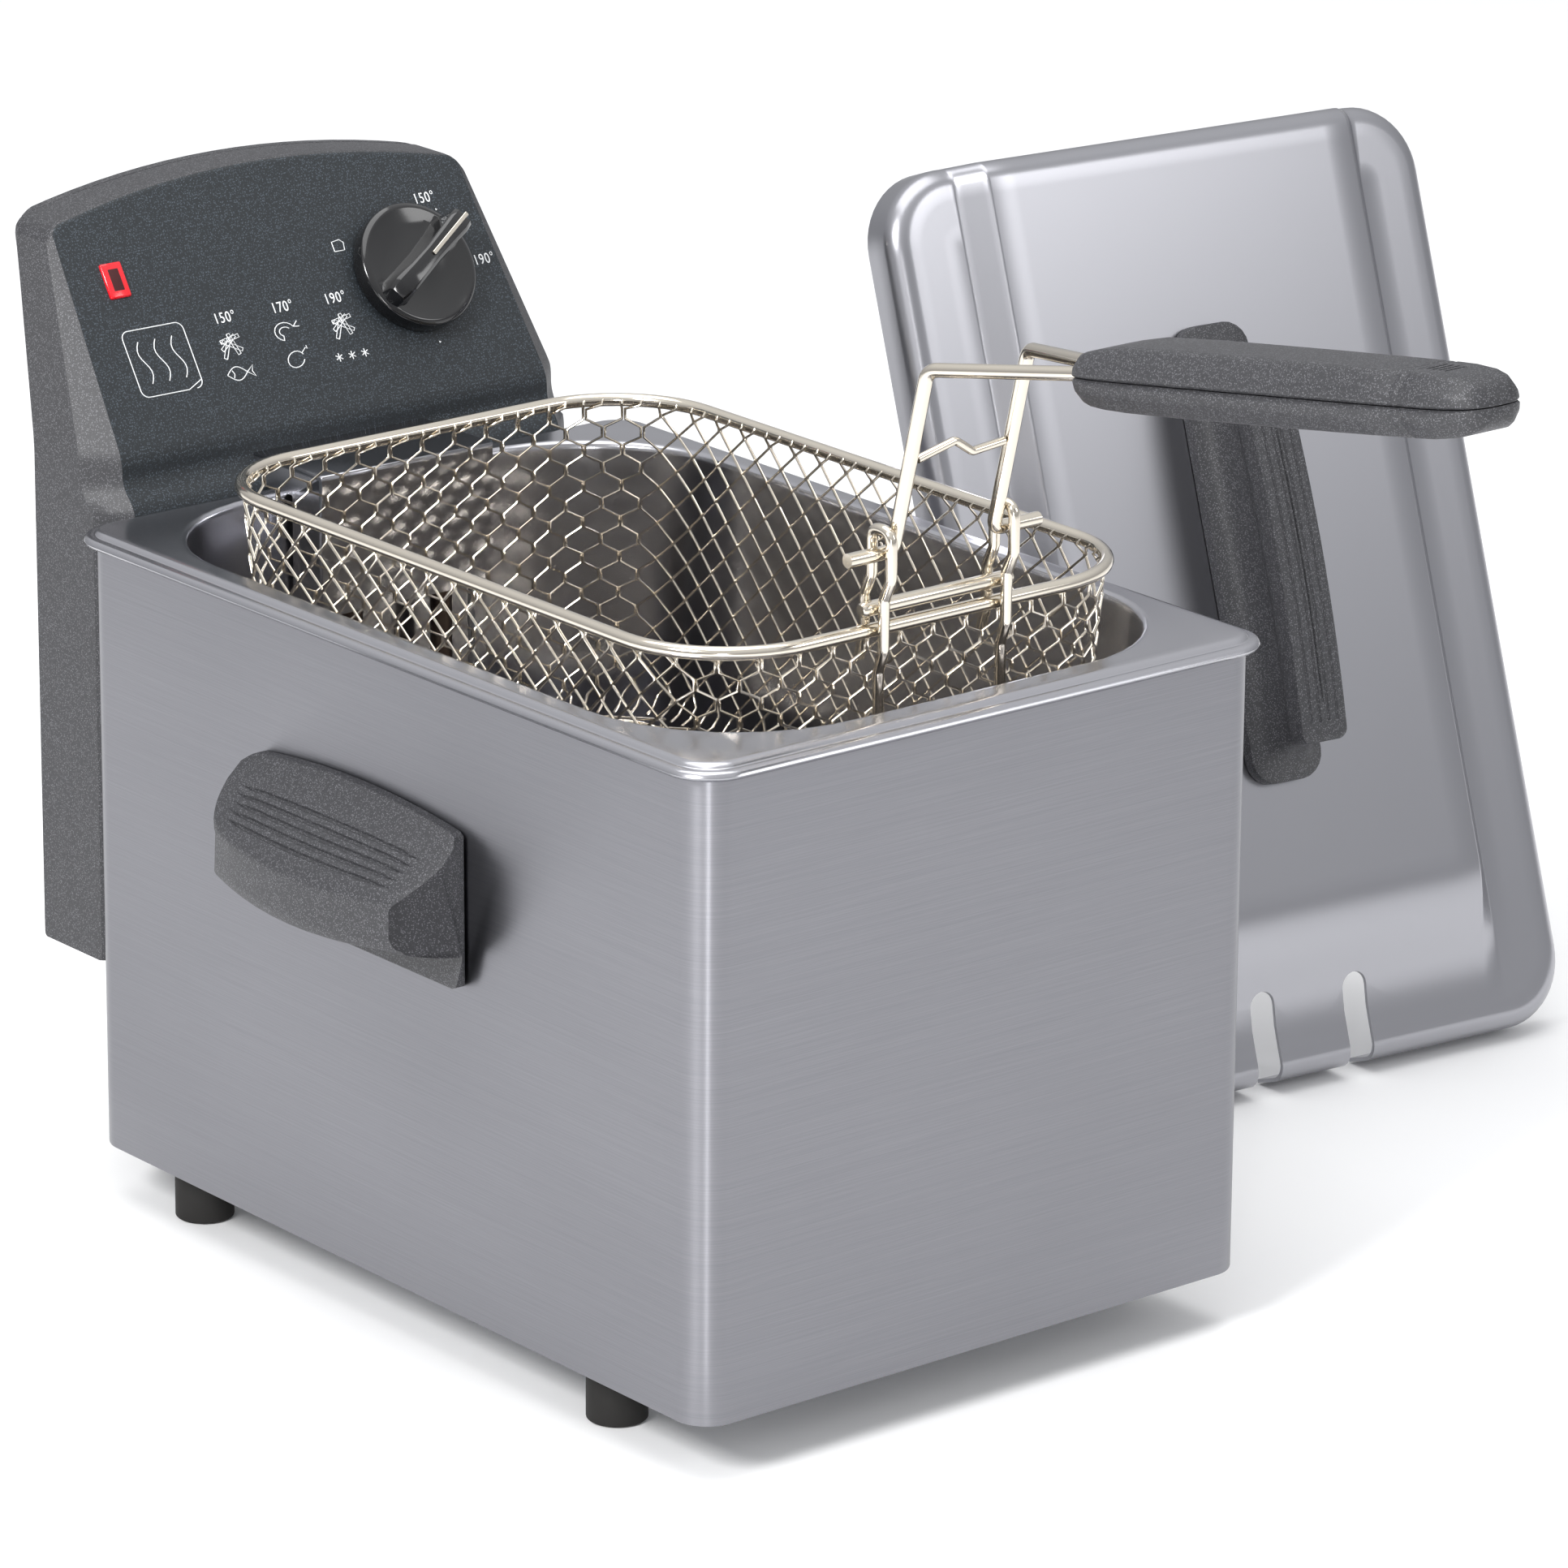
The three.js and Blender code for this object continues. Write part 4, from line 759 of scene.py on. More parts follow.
@dataclass
class Bowl:
    """The drawn bowl: a rolled lip, a step up to the flat plate, and a deep well."""

    half_x: float = 96.8
    half_y: float = 140.4
    corner: float = 10.0
    well_x: float = 89.5
    well_y: float = 133.0
    well_middle: float = 1.5
    well_corner: float = 48.7
    plate: float = 183.5
    floor: float = 32.0
    floor_round: float = 12.0
    draft: float = 5.5
    wall: float = 0.8

    def build(self) -> None:
        """Builds the bowl as one sheet, from under the lip to the middle of its floor."""
        lip = [(1.6, 180.9), (2.2, 180.75), (2.75, 180.95), (3.0, 181.3), (2.8, 181.7), (2.2, 181.95), (1.2, 182.0),
               (0.4, 182.1), (-0.1, 182.5), (-0.5, 183.1), (-1.1, 183.4), (-2.0, self.plate)]
        rings = [[Vector((x, y, z)) for x, y in outline(self.half_x + d, self.half_y + d, self.corner + d)]
                 for d, z in lip]
        rings.append([a.lerp(b, 0.5) for a, b in zip(rings[-1], self.well_ring(-3.0, self.plate))])
        deep = self.plate - self.floor
        for inset, z in [(-1.6, self.plate), (-0.9, self.plate + 0.05), (-0.3, self.plate - 0.15),
                         (0.0, self.plate - 0.6), (0.1, self.plate - 1.6), (0.3, self.plate - 8)]:
            rings.append(self.well_ring(inset, z))
        for part in (0.2, 0.4, 0.6, 0.8, 0.92):
            rings.append(self.well_ring(self.draft * part, self.plate - deep * part))
        for turn in (0, 22.5, 45, 67.5, 90):
            angle = math.radians(turn)
            rings.append(self.well_ring(self.draft + self.floor_round * (1 - math.cos(angle)),
                                        self.floor + self.floor_round * (1 - math.sin(angle))))
        last = rings[-1]
        middle = Vector((0, self.well_middle, self.floor))
        rings += [[point.lerp(middle, share) for point in last] for share in (0.35, 0.7, 0.97)]
        piece = skin(rings)
        with editing(piece):
            bpy.ops.mesh.flip_normals()
        self.close_floor(piece)
        modify(piece, "SOLIDIFY", thickness=self.wall * MM, offset=-1.0)
        smooth(piece, 45)
        settle(piece, "drawn_bowl", Body.BOWL, BOWL_STEEL, "bowl")

    def well_ring(self, inset: float, z: float) -> Path:
        """The well's outline, moved in by inset, at height z."""
        return [Vector((x, y, z)) for x, y in outline(
            self.well_x - inset, self.well_y - inset, self.well_corner - inset, self.well_middle)]

    def close_floor(self, piece: bpy.types.Object) -> None:
        """Fills the small hole left in the middle of the floor."""
        reach = 6 * MM
        with editing(piece):
            bpy.ops.mesh.select_mode(type="VERT")
            bpy.ops.mesh.select_all(action="DESELECT")
            mesh = bmesh.from_edit_mesh(piece.data)
            for vertex in mesh.verts:
                near = abs(vertex.co.x) < reach and abs(vertex.co.y - self.well_middle * MM) < reach
                vertex.select_set(near and vertex.co.z < (self.floor + 1) * MM)
            bmesh.update_edit_mesh(piece.data)
            bpy.ops.mesh.edge_face_add()


# ---- Control unit


@dataclass
class ControlUnit:
    """The leaning head with its panel, print and knob, and the heating parts that hang in the bowl."""

    front: float = 144.3
    bend_y: float = 150.6
    bend_z: float = 197.6
    top_y: float = 190.1
    top_z: float = 257.1
    ledge: float = 184.0
    bottom: float = 48.0
    back: float = 185.3
    top_back: float = 209.1
    side: float = 84.6
    side_top: float = 73.8
    face: float = 76.1
    face_top: float = 72.3
    chamfer: float = 9.0
    crown: float = 8.0
    top_round: float = 6.0
    front_curl: float = 3.0
    back_curl: float = 2.5
    lamp_across: float = -57.5
    lamp_up: float = 52.7
    knob_radius: float = 19.4
    knob_skirt: float = 5.4
    knob_across: float = 42.0
    knob_up: float = 39.3
    knob_turn: float = -58.0

    def build(self) -> None:
        """Builds every piece of the control unit."""
        self.head()
        self.lamp()
        Print(self).build()
        self.knob()
        refine("head_back_cover", Body.UNIT, CHARCOAL)
        for level in ("low", "high"):
            for side in Side:
                refine(f"head_screw_{level}_{side.word}", Body.UNIT, ZINC_STEEL)
        for node in ("thermostat_body", "lamp_body", "thermal_cutout", "terminal_block"):
            refine(node, Body.UNIT, CREAM)
        for node in ("thermostat_screw_1", "thermostat_screw_2", "sensor_bulb", "bulb_clip"):
            refine(node, Body.UNIT, ZINC_STEEL)
        refine("interlock_switch", Body.UNIT, GLOSS_BLACK)
        refine("cord_gland", Body.UNIT, RUBBER)
        refine("heating_element", Body.UNIT, TUBE_METAL, 50)
        refine("element_bracket", Body.UNIT, BOWL_STEEL)
        refine("reset_button", Body.RESET, RED_LENS)
        refine("thermostat_shaft", Body.KNOB, ZINC_STEEL)

    def panel(self) -> Matrix:
        """The panel's own place: X across, Y up the slope, Z out of it."""
        lean = math.atan2(self.top_y - self.bend_y, self.top_z - self.bend_z)
        return Matrix.Translation((0, self.bend_y, self.bend_z)) @ Matrix.Rotation(math.pi / 2 - lean, 4, "X")

    def crest(self, x: float) -> float:
        """How high the crowned top stands at a place across."""
        across = abs(x)
        inner = self.side_top - self.top_round
        if across <= inner:
            part = across / inner
            return self.top_z + self.crown * (1 - part * part) + 1.2 * part * part
        fall = min((across - inner) / self.top_round, 1.05)
        return self.top_z + 1.2 - 7.2 * (1 - math.sqrt(max(0.0, 1 - (fall / 1.06) ** 2)))

    def stretch(self, low: float, high: float, z: float) -> float:
        """A measure that is low up to the bend and goes evenly to high at the top, and on above it."""
        part = max(0.0, (z - self.bend_z) / (self.top_z - self.bend_z))
        return low + (high - low) * part

    def head(self) -> None:
        """The housing, laid as one skin: columns run round its side view, rows run across it."""
        across = [-1, -0.985, -0.96, -0.92, -0.86, -0.78, -0.68, -0.55, -0.4, -0.25, -0.12]
        shares = [(s, 0.0) for s in across] + [(0, 0.0)] + [(-s, 0.0) for s in reversed(across)]
        edge = [0.12, 0.5, 0.88, 1.0]
        stations = [(-1, e) for e in reversed(edge)] + shares + [(1, e) for e in edge]
        sections = [self.side_view(share, outer) for share, outer in stations]
        piece = skin(sections, cap=True)
        piece.data.materials.append(CHARCOAL.material())
        piece.data.materials.append(PANEL_BLACK.material())
        lean = math.atan2(self.top_y - self.bend_y, self.top_z - self.bend_z)
        for polygon in piece.data.polygons:
            forward = -polygon.normal.y
            on_face = abs(polygon.center.x / MM) < self.stretch(self.face, self.face_top, polygon.center.z / MM) - 0.1
            if on_face and forward > 0.6 * math.cos(lean) and len(polygon.vertices) == 4:
                polygon.material_index = 1
        smooth(piece, 24)
        settle(piece, "head_moulding", Body.UNIT, [CHARCOAL, PANEL_BLACK], "head_housing")

    def side_view(self, share: float, outer: float) -> Path:
        """The head's side view at one station across.

        Args:
            share: the place across the face, from -1 to 1.
            outer: how far from the face's edge to the side, from 0 to 1.

        Returns:
            The section's points, from the bottom of the front round to the bottom of the back.
        """
        def x_at(z: float) -> float:
            face = self.stretch(self.face, self.face_top, z)
            side = self.stretch(self.side, self.side_top, z)
            return share * face if outer == 0 else math.copysign(face + (side - face) * outer, share)

        top = self.crest(x_at(self.top_z))
        rise = (self.top_y - self.bend_y) / (self.top_z - self.bend_z)
        front_top = self.bend_y + rise * (top - self.bend_z)
        corners = [
            (self.front, self.bottom), (self.front, self.ledge), (self.bend_y, self.ledge + 6),
            (self.bend_y, self.bend_z), (front_top, top), (self.back_at(top) - 0.3, top),
            (self.back, self.bend_z), (self.back, self.bottom),
        ]
        flat = [Vector((0, y, z)) for y, z in corners]
        path = round_path(flat, [2, 12, 9, 16, self.front_curl, self.back_curl, 14, 2], 6, closed=True)
        tight = self.stretch(self.chamfer, 1.0, min(top, self.top_z))
        section: Path = []
        for point in path:
            pull = self.stretch(self.chamfer, 1.0, min(point.z, self.top_z)) * outer if outer else 0.0
            tuck = (8.0 * outer ** 2) if outer else 0.0
            depth = (point.y - self.front_at(point.z)) / max(self.back_at(point.z) - self.front_at(point.z), 1)
            y = point.y + pull * (1 - depth) - tuck * depth * (0.35 if tight < 2 else 0.6)
            section.append(Vector((x_at(point.z), y, point.z)))
        return section

    def front_at(self, z: float) -> float:
        """The front face's place along Y at height z."""
        if z <= self.ledge:
            return self.front
        if z <= self.bend_z:
            return self.bend_y
        return self.stretch(self.bend_y, self.top_y, z)

    def back_at(self, z: float) -> float:
        """The back's place along Y at height z."""
        return self.stretch(self.back, self.top_back, z)

    def lamp(self) -> None:
        """The lamp's lens, with painted shade in its middle: a dark red patch that stands for the shaded hollow behind
        the lens.
        """
        # the second block is painted shade, a dark red patch set just proud of the lens's middle
        for name, width, height, thick, finish, nodes in (
                ("lens", 7.2, 10.8, 0.9, RED_LENS, ("lamp_lens",)), ("painted_shade", 3.8, 7.0, 0.95, LENS_MIDDLE_PAINTED_SHADE, ())):
            piece = add_block((width, height, thick + 2))
            round_edges(piece, 0.6 if nodes else 0.3, 3)
            move_by(piece, self.panel() @ Matrix.Translation((self.lamp_across, self.lamp_up, thick / 2 - 1)))
            smooth(piece)
            settle(piece, f"lamp_{name}_piece", Body.UNIT, finish, *nodes)

    def knob(self) -> None:
        """The control knob: a round skirt and a waisted bar with its bright pointer."""
        piece = add_cylinder(self.knob_radius, self.knob_skirt, (0, 0, 3.0), 72)
        with editing(piece):
            pick_faces(piece, lambda face: face.normal.z > 0.9)
            for inset, rise in ((1.6, 0.9), (3.0, -0.9)):
                bpy.ops.mesh.inset(thickness=inset * MM)
                bpy.ops.transform.translate(value=(0, 0, rise * MM))
        round_edges(piece, 0.5, 3, 20)
        stations = [(-18.4, 5.6, 0.2), (-17.6, 11.4, 0.75), (-14.5, 13.6, 0.92), (-8, 14.6, 0.84), (0, 15.2, 0.78),
                    (8, 15.7, 0.86), (14, 15.9, 0.98), (17.4, 15.2, 0.9), (18.6, 13.6, 0.55)]

        def place(i: int, j: int) -> Vector:
            along, top, width = stations[j]
            half = 4.6 * width
            flare = 2.2 * width
            section = [(-half - flare, 2.0), (-half - 0.4, 5.8), (-half * 0.9, top * 0.55), (-half * 0.8, top - 1.0),
                       (-half * 0.55, top), (half * 0.55, top), (half * 0.8, top - 1.0), (half * 0.9, top * 0.55),
                       (half + 0.4, 5.8), (half + flare, 2.0)]
            across, height = section[i]
            return Vector((across, along, height))

        bar = lay_grid(10, len(stations), place, cap=True)
        combine(piece, bar, "UNION")
        round_edges(piece, 0.35, 2, 30)
        smooth(piece, 30)
        spot = self.panel() @ Matrix.Translation((self.knob_across, self.knob_up, 0)) @ Matrix.Rotation(
            math.radians(self.knob_turn), 4, "Z")
        move_by(piece, spot)
        settle(piece, "control_knob", Body.KNOB, GLOSS_BLACK, "knob")
        line = add_block((1.3, 19.0, 0.5), (0, 8.6, 15.75), 0.8)
        round_edges(line, 0.2, 2)
        move_by(line, spot)
        settle(line, "pointer_line", Body.KNOB, CHROME, "pointer_insert")


@dataclass
class Print:
    """The panel's print: dial numbers, dots and plain little pictures of what is fried."""

    unit: ControlUnit
    stroke: float = 0.17
    text_size: float = 4.6
    numbers: tuple[tuple[str, float, float], ...] = (
        ("150°", 56.1, 60.4), ("190°", 69.1, 38.6), ("150°", -25.9, 35.8), ("170°", -5.5, 35.7), ("190°", 13.3, 35.4))

    def build(self) -> None:
        """Prints everything on the panel."""
        for text, across, up in self.numbers:
            self.number(text, across, up)
        lines = self.dots() + self.frame() + self.waves()
        lines += self.sticks(-27.0, 27.4) + self.sticks(12.7, 27.0) + self.fish(-27.1, 18.7)
        lines += self.shrimp(-7.4, 28.3) + self.drumstick(-7.0, 19.9)
        lines += [line for k in range(3) for line in self.star(7.6 + 4.6 * k, 17.6)]
        lines.append([(19.0, 49.2), (22.6, 49.2), (23.0, 51.6), (21.8, 52.6), (19.0, 52.2), (19.0, 49.2)])
        paths = [[Vector((u, v, 0.02)) for u, v in line] for line in lines]
        piece = make_wires(paths, self.stroke, 0)
        move_by(piece, self.unit.panel())
        settle(piece, "panel_signs", Body.UNIT, INK)

    def number(self, text: str, across: float, up: float) -> None:
        """Prints one number.

        Args:
            text: what it says.
            across: its middle across the panel.
            up: its middle up the panel.
        """
        deselect()
        bpy.ops.object.text_add()
        piece = bpy.context.object
        piece.data.body = text
        piece.data.size = self.text_size * MM
        piece.data.align_x = "CENTER"
        piece.data.align_y = "CENTER"
        piece.data.extrude = 0.05 * MM
        piece.data.space_character = 1.12
        piece.scale = (0.8, 1.0, 1.0)
        bpy.ops.object.convert(target="MESH")
        piece = bpy.context.object
        freeze(piece)
        move_by(piece, self.unit.panel() @ Matrix.Translation((across, up, 0.08)))
        settle(piece, f"number_{text[:-1]}_{round(across + 100)}", Body.UNIT, INK)

    def dots(self) -> list[list[Pair]]:
        """The dial's two end dots."""
        return [[(u + 0.28 * math.cos(a), v + 0.28 * math.sin(a)) for a in (0, 2.1, 4.2, 6.28)]
                for u, v in ((58.9, 56.3), (43.6, 16.4))]

    def frame(self) -> list[list[Pair]]:
        """The rounded frame round the heat sign."""
        return [[(-51.3 + u, 27.0 + v) for u, v in [*outline(10.6, 10.2, 2.4), (10.6, -7.8)]]]

    def waves(self) -> list[list[Pair]]:
        """Three rising heat waves."""
        return [[(x + 1.3 * math.sin(t * math.pi / 5), 20.5 + 1.3 * t) for t in range(11)]
                for x in (-57.2, -51.3, -45.4)]

    def sticks(self, u: float, v: float) -> list[list[Pair]]:
        """Crossed potato sticks, each an outlined bar."""
        made = []
        for turn, du, dv in ((35, -0.6, 0.8), (-30, 0.4, -0.2), (10, 0.2, 1.9), (-75, 1.0, 0.2), (60, -1.6, -0.8)):
            a = math.radians(turn)
            ends = [(-3.4, -0.55), (3.4, -0.55), (3.4, 0.55), (-3.4, 0.55), (-3.4, -0.55)]
            made.append([(u + du + x * math.cos(a) - y * math.sin(a), v + dv + x * math.sin(a) + y * math.cos(a))
                         for x, y in ends])
        return made

    def fish(self, u: float, v: float) -> list[list[Pair]]:
        """A fish: two bows and a tail."""
        top = [(u - 4.6 + 7 * t / 10, v + 2.1 * math.sin(math.pi * t / 10)) for t in range(11)]
        low = [(u - 4.6 + 7 * t / 10, v - 2.1 * math.sin(math.pi * t / 10)) for t in range(11)]
        tail = [(u + 2.4, v), (u + 4.8, v + 1.8), (u + 4.1, v), (u + 4.8, v - 1.8), (u + 2.4, v)]
        gill = [(u - 2.6, v + 1.2), (u - 2.1, v), (u - 2.6, v - 1.2)]
        return [top, low, tail, gill]

    def shrimp(self, u: float, v: float) -> list[list[Pair]]:
        """A curled shrimp with two feelers."""
        outer = [(u + 3.6 * math.cos(a), v + 2.8 * math.sin(a)) for a in [0.4 + 0.36 * k for k in range(12)]]
        inner = [(u + 2.0 * math.cos(a), v + 1.4 * math.sin(a)) for a in [0.6 + 0.36 * k for k in range(11)]]
        feelers = [(u + 3.3, v + 1.1), (u + 5.0, v + 2.6)], [(u + 3.3, v + 1.1), (u + 5.3, v + 0.9)]
        return [outer, inner, [outer[-1], inner[-1]], *[list(f) for f in feelers]]

    def drumstick(self, u: float, v: float) -> list[list[Pair]]:
        """A roast drumstick."""
        meat = [(u + 3.0 * math.cos(a), v - 0.4 + 2.4 * math.sin(a) + 0.5 * math.cos(a)) for a in
                [0.3 + 0.4 * k for k in range(15)]]
        bone = [(u + 2.6, v + 1.2), (u + 4.3, v + 2.6), (u + 4.9, v + 2.2), (u + 4.8, v + 3.2)]
        return [meat, bone]

    def star(self, u: float, v: float) -> list[list[Pair]]:
        """A six-pointed frost star of three strokes."""
        return [[(u + 1.3 * math.cos(a), v + 1.3 * math.sin(a)), (u - 1.3 * math.cos(a), v - 1.3 * math.sin(a))]
                for a in (math.pi / 2, math.pi / 6, -math.pi / 6)]


# ---- Basket and its handle


@dataclass
class Basket:
    """The wire basket: rim, woven mesh, base wire, and the two hairpins that hold the handle."""

    half_x: float = 78.5
    half_y: float = 114.5
    corner: float = 33.0
    middle: float = -3.2
    rim_z: float = 202.0
    bottom: float = 111.0
    taper: float = 7.0
    floor_round: float = 8.0
    mesh_wire: float = 0.45
    column: float = 5.8
    row: float = 5.4
    zigzag: float = 0.42  # how far a wire leans to its neighbour, as a share of a column
    rim_front: float = -117.7
    hairpin_x: float = 21.2
    rounds: dict[float, tuple[Path, list[float]]] = field(default_factory=dict)  # outlines already worked out

    def build(self) -> None:
        """Builds every piece of the basket."""
        rim = [Vector((x, y, self.rim_z)) for x, y in outline(
            self.half_x, self.half_y, self.corner, self.middle, steps=14)]
        settle_wire([rim], 2.0, 4, "rim_wire", Body.BASKET, "basket_rim", closed=True)
        self.weave()
        inset = self.taper + 12
        base = [Vector((x, y, self.bottom - 1.8)) for x, y in outline(
            self.half_x - inset, self.half_y - inset, self.corner - inset, self.middle)]
        settle_wire([base], 1.5, 3, "base_wire", Body.BASKET, "basket_base_wire", closed=True)
        for side in Side:
            self.hairpin(side)
        self.crossbar()

    def perimeter(self, inset: float) -> tuple[Path, list[float]]:
        """The tub's outline at one inset, closed, with the distance to each point."""
        points = [Vector((x, y, 0)) for x, y in outline(
            self.half_x - inset, self.half_y - inset, self.corner - inset, self.middle, steps=12)]
        points.append(points[0])
        far = [0.0]
        for before, after in zip(points, points[1:]):
            far.append(far[-1] + (after - before).length)
        return points, far

    def spot(self, share: float, inset: float, z: float) -> Vector:
        """The point at a share of the way round the tub.

        Args:
            share: how far round, from 0 to 1.
            inset: how far in from the rim's centre line.
            z: the height.

        Returns:
            The point.
        """
        key = round(inset, 3)
        if key not in self.rounds:
            self.rounds[key] = self.perimeter(inset)
        points, far = self.rounds[key]
        wanted = (share % 1.0) * far[-1]
        low, high = 0, len(far) - 1
        while high - low > 1:
            middle = (low + high) // 2
            if far[middle] <= wanted:
                low = middle
            else:
                high = middle
        part = (wanted - far[low]) / max(far[high] - far[low], 1e-9)
        place = points[low].lerp(points[high], part)
        return Vector((place.x, place.y, z))

    def weave(self) -> None:
        """The mesh: upright wires that zigzag to their neighbours, and a floor of the same wires."""
        _, far = self.perimeter(0)
        count = round(far[-1] / self.column / 2) * 2
        top = self.rim_z - 1.0
        low = self.bottom + self.floor_round
        rows = round((top - 3 - low) / self.row)
        wires: list[Path] = []
        for number in range(count):
            path = [self.spot(number / count, 1.4, top + 1.6), self.spot(number / count, 2.6, top + 0.2)]
            for k in range(rows + 1):
                z = top - 3 - (top - 3 - low) * k / rows
                inset = 2.4 + self.taper * (1 - (z - low) / (top - low)) - 2.0
                turn = self.zigzag if (k + number) % 2 else -self.zigzag
                place = self.spot((number + 0.5 + turn) / count, inset, z)
                stay = 1.5 if abs(place.y - self.middle) > self.half_y - 16 else 0.45
                path += [self.spot((number + 0.5 + turn) / count, inset, z + stay), place - Vector((0, 0, stay))]
            for angle in (30, 60, 90):
                a = math.radians(angle)
                path.append(self.spot(
                    (number + 0.5) / count, 0.4 + self.taper + self.floor_round * (1 - math.cos(a)),
                    low - (self.floor_round - 0.6) * math.sin(a)))
            wires.append(path)
        wires += self.floor_wires()
        settle_wire(wires, self.mesh_wire, 1, "woven_mesh", Body.BASKET, "basket_mesh")

    def floor_wires(self) -> list[Path]:
        """The floor's wires, which run across and zigzag to their neighbours."""
        inset = self.taper + self.floor_round + 0.6
        half_x, half_y, corner = self.half_x - inset, self.half_y - inset, self.corner - inset
        z = self.bottom + 0.6
        wires: list[Path] = []
        lines = round(2 * half_y / self.column)
        steps = round(2 * half_x / self.row)
        for number in range(lines):
            path: Path = []
            for k in range(steps + 1):
                x = -half_x + 2 * half_x * k / steps
                turn = self.zigzag if (k + number) % 2 else -self.zigzag
                y = -half_y + 2 * half_y * (number + 0.5 + turn) / lines
                past_x, past_y = abs(x) - (half_x - corner), abs(y) - (half_y - corner)
                if past_x > 0 and past_y > 0 and math.hypot(past_x, past_y) > corner + 1:
                    continue
                path += [Vector((x - 0.45, y + self.middle, z)), Vector((x + 0.45, y + self.middle, z))]
            wires.append(path)
        return wires

    def hairpin(self, side: Side) -> None:
        """A hairpin bracket: down the outside, over the rim and up to the hook that holds the handle.

        Args:
            side: left or right.
        """
        wire, half, lean, rise = 1.6, 4.0, 2.8, 6.0
        inside, outside = self.rim_front + half, self.rim_front - half
        x = side.value * self.hairpin_x
        z = self.rim_z
        loop = z + 28
        places = [
            (self.rim_front - wire - 0.3, z - 60), (self.rim_front - wire - 0.3, z - 11), (outside, z - 5),
            (outside, z + rise + 3), (outside - lean, z + rise + 9), (outside - lean, loop), (inside - lean, loop),
            (inside - lean, z + rise + 9), (inside, z + rise + 3), (inside, z - 2), (inside + 2.2, z - 9)]
        path = round_path([Vector((x, y, h)) for y, h in places], 3.6, 6)
        settle_wire([path], wire, 4, f"hairpin_{side.word}", Body.BASKET, f"basket_bracket_{side.word}")

    def crossbar(self) -> None:
        """The short bar through both hairpins, its ends rounded."""
        ends = [(-26, 1.5), (-25.4, 2.0), (-24.6, 2.1), (24.6, 2.1), (25.4, 2.0), (26, 1.5)]
        spokes = 20

        def place(i: int, j: int) -> Vector:
            x, radius = ends[j]
            angle = 2 * math.pi * i / spokes
            return Vector((x, self.rim_front + radius * math.cos(angle), self.rim_z + 6 + radius * math.sin(angle)))

        piece = lay_grid(spokes, len(ends), place, cap=True)
        smooth(piece, 40)
        settle(piece, "crossbar", Body.BASKET, CHROME, "bracket_crossbar")


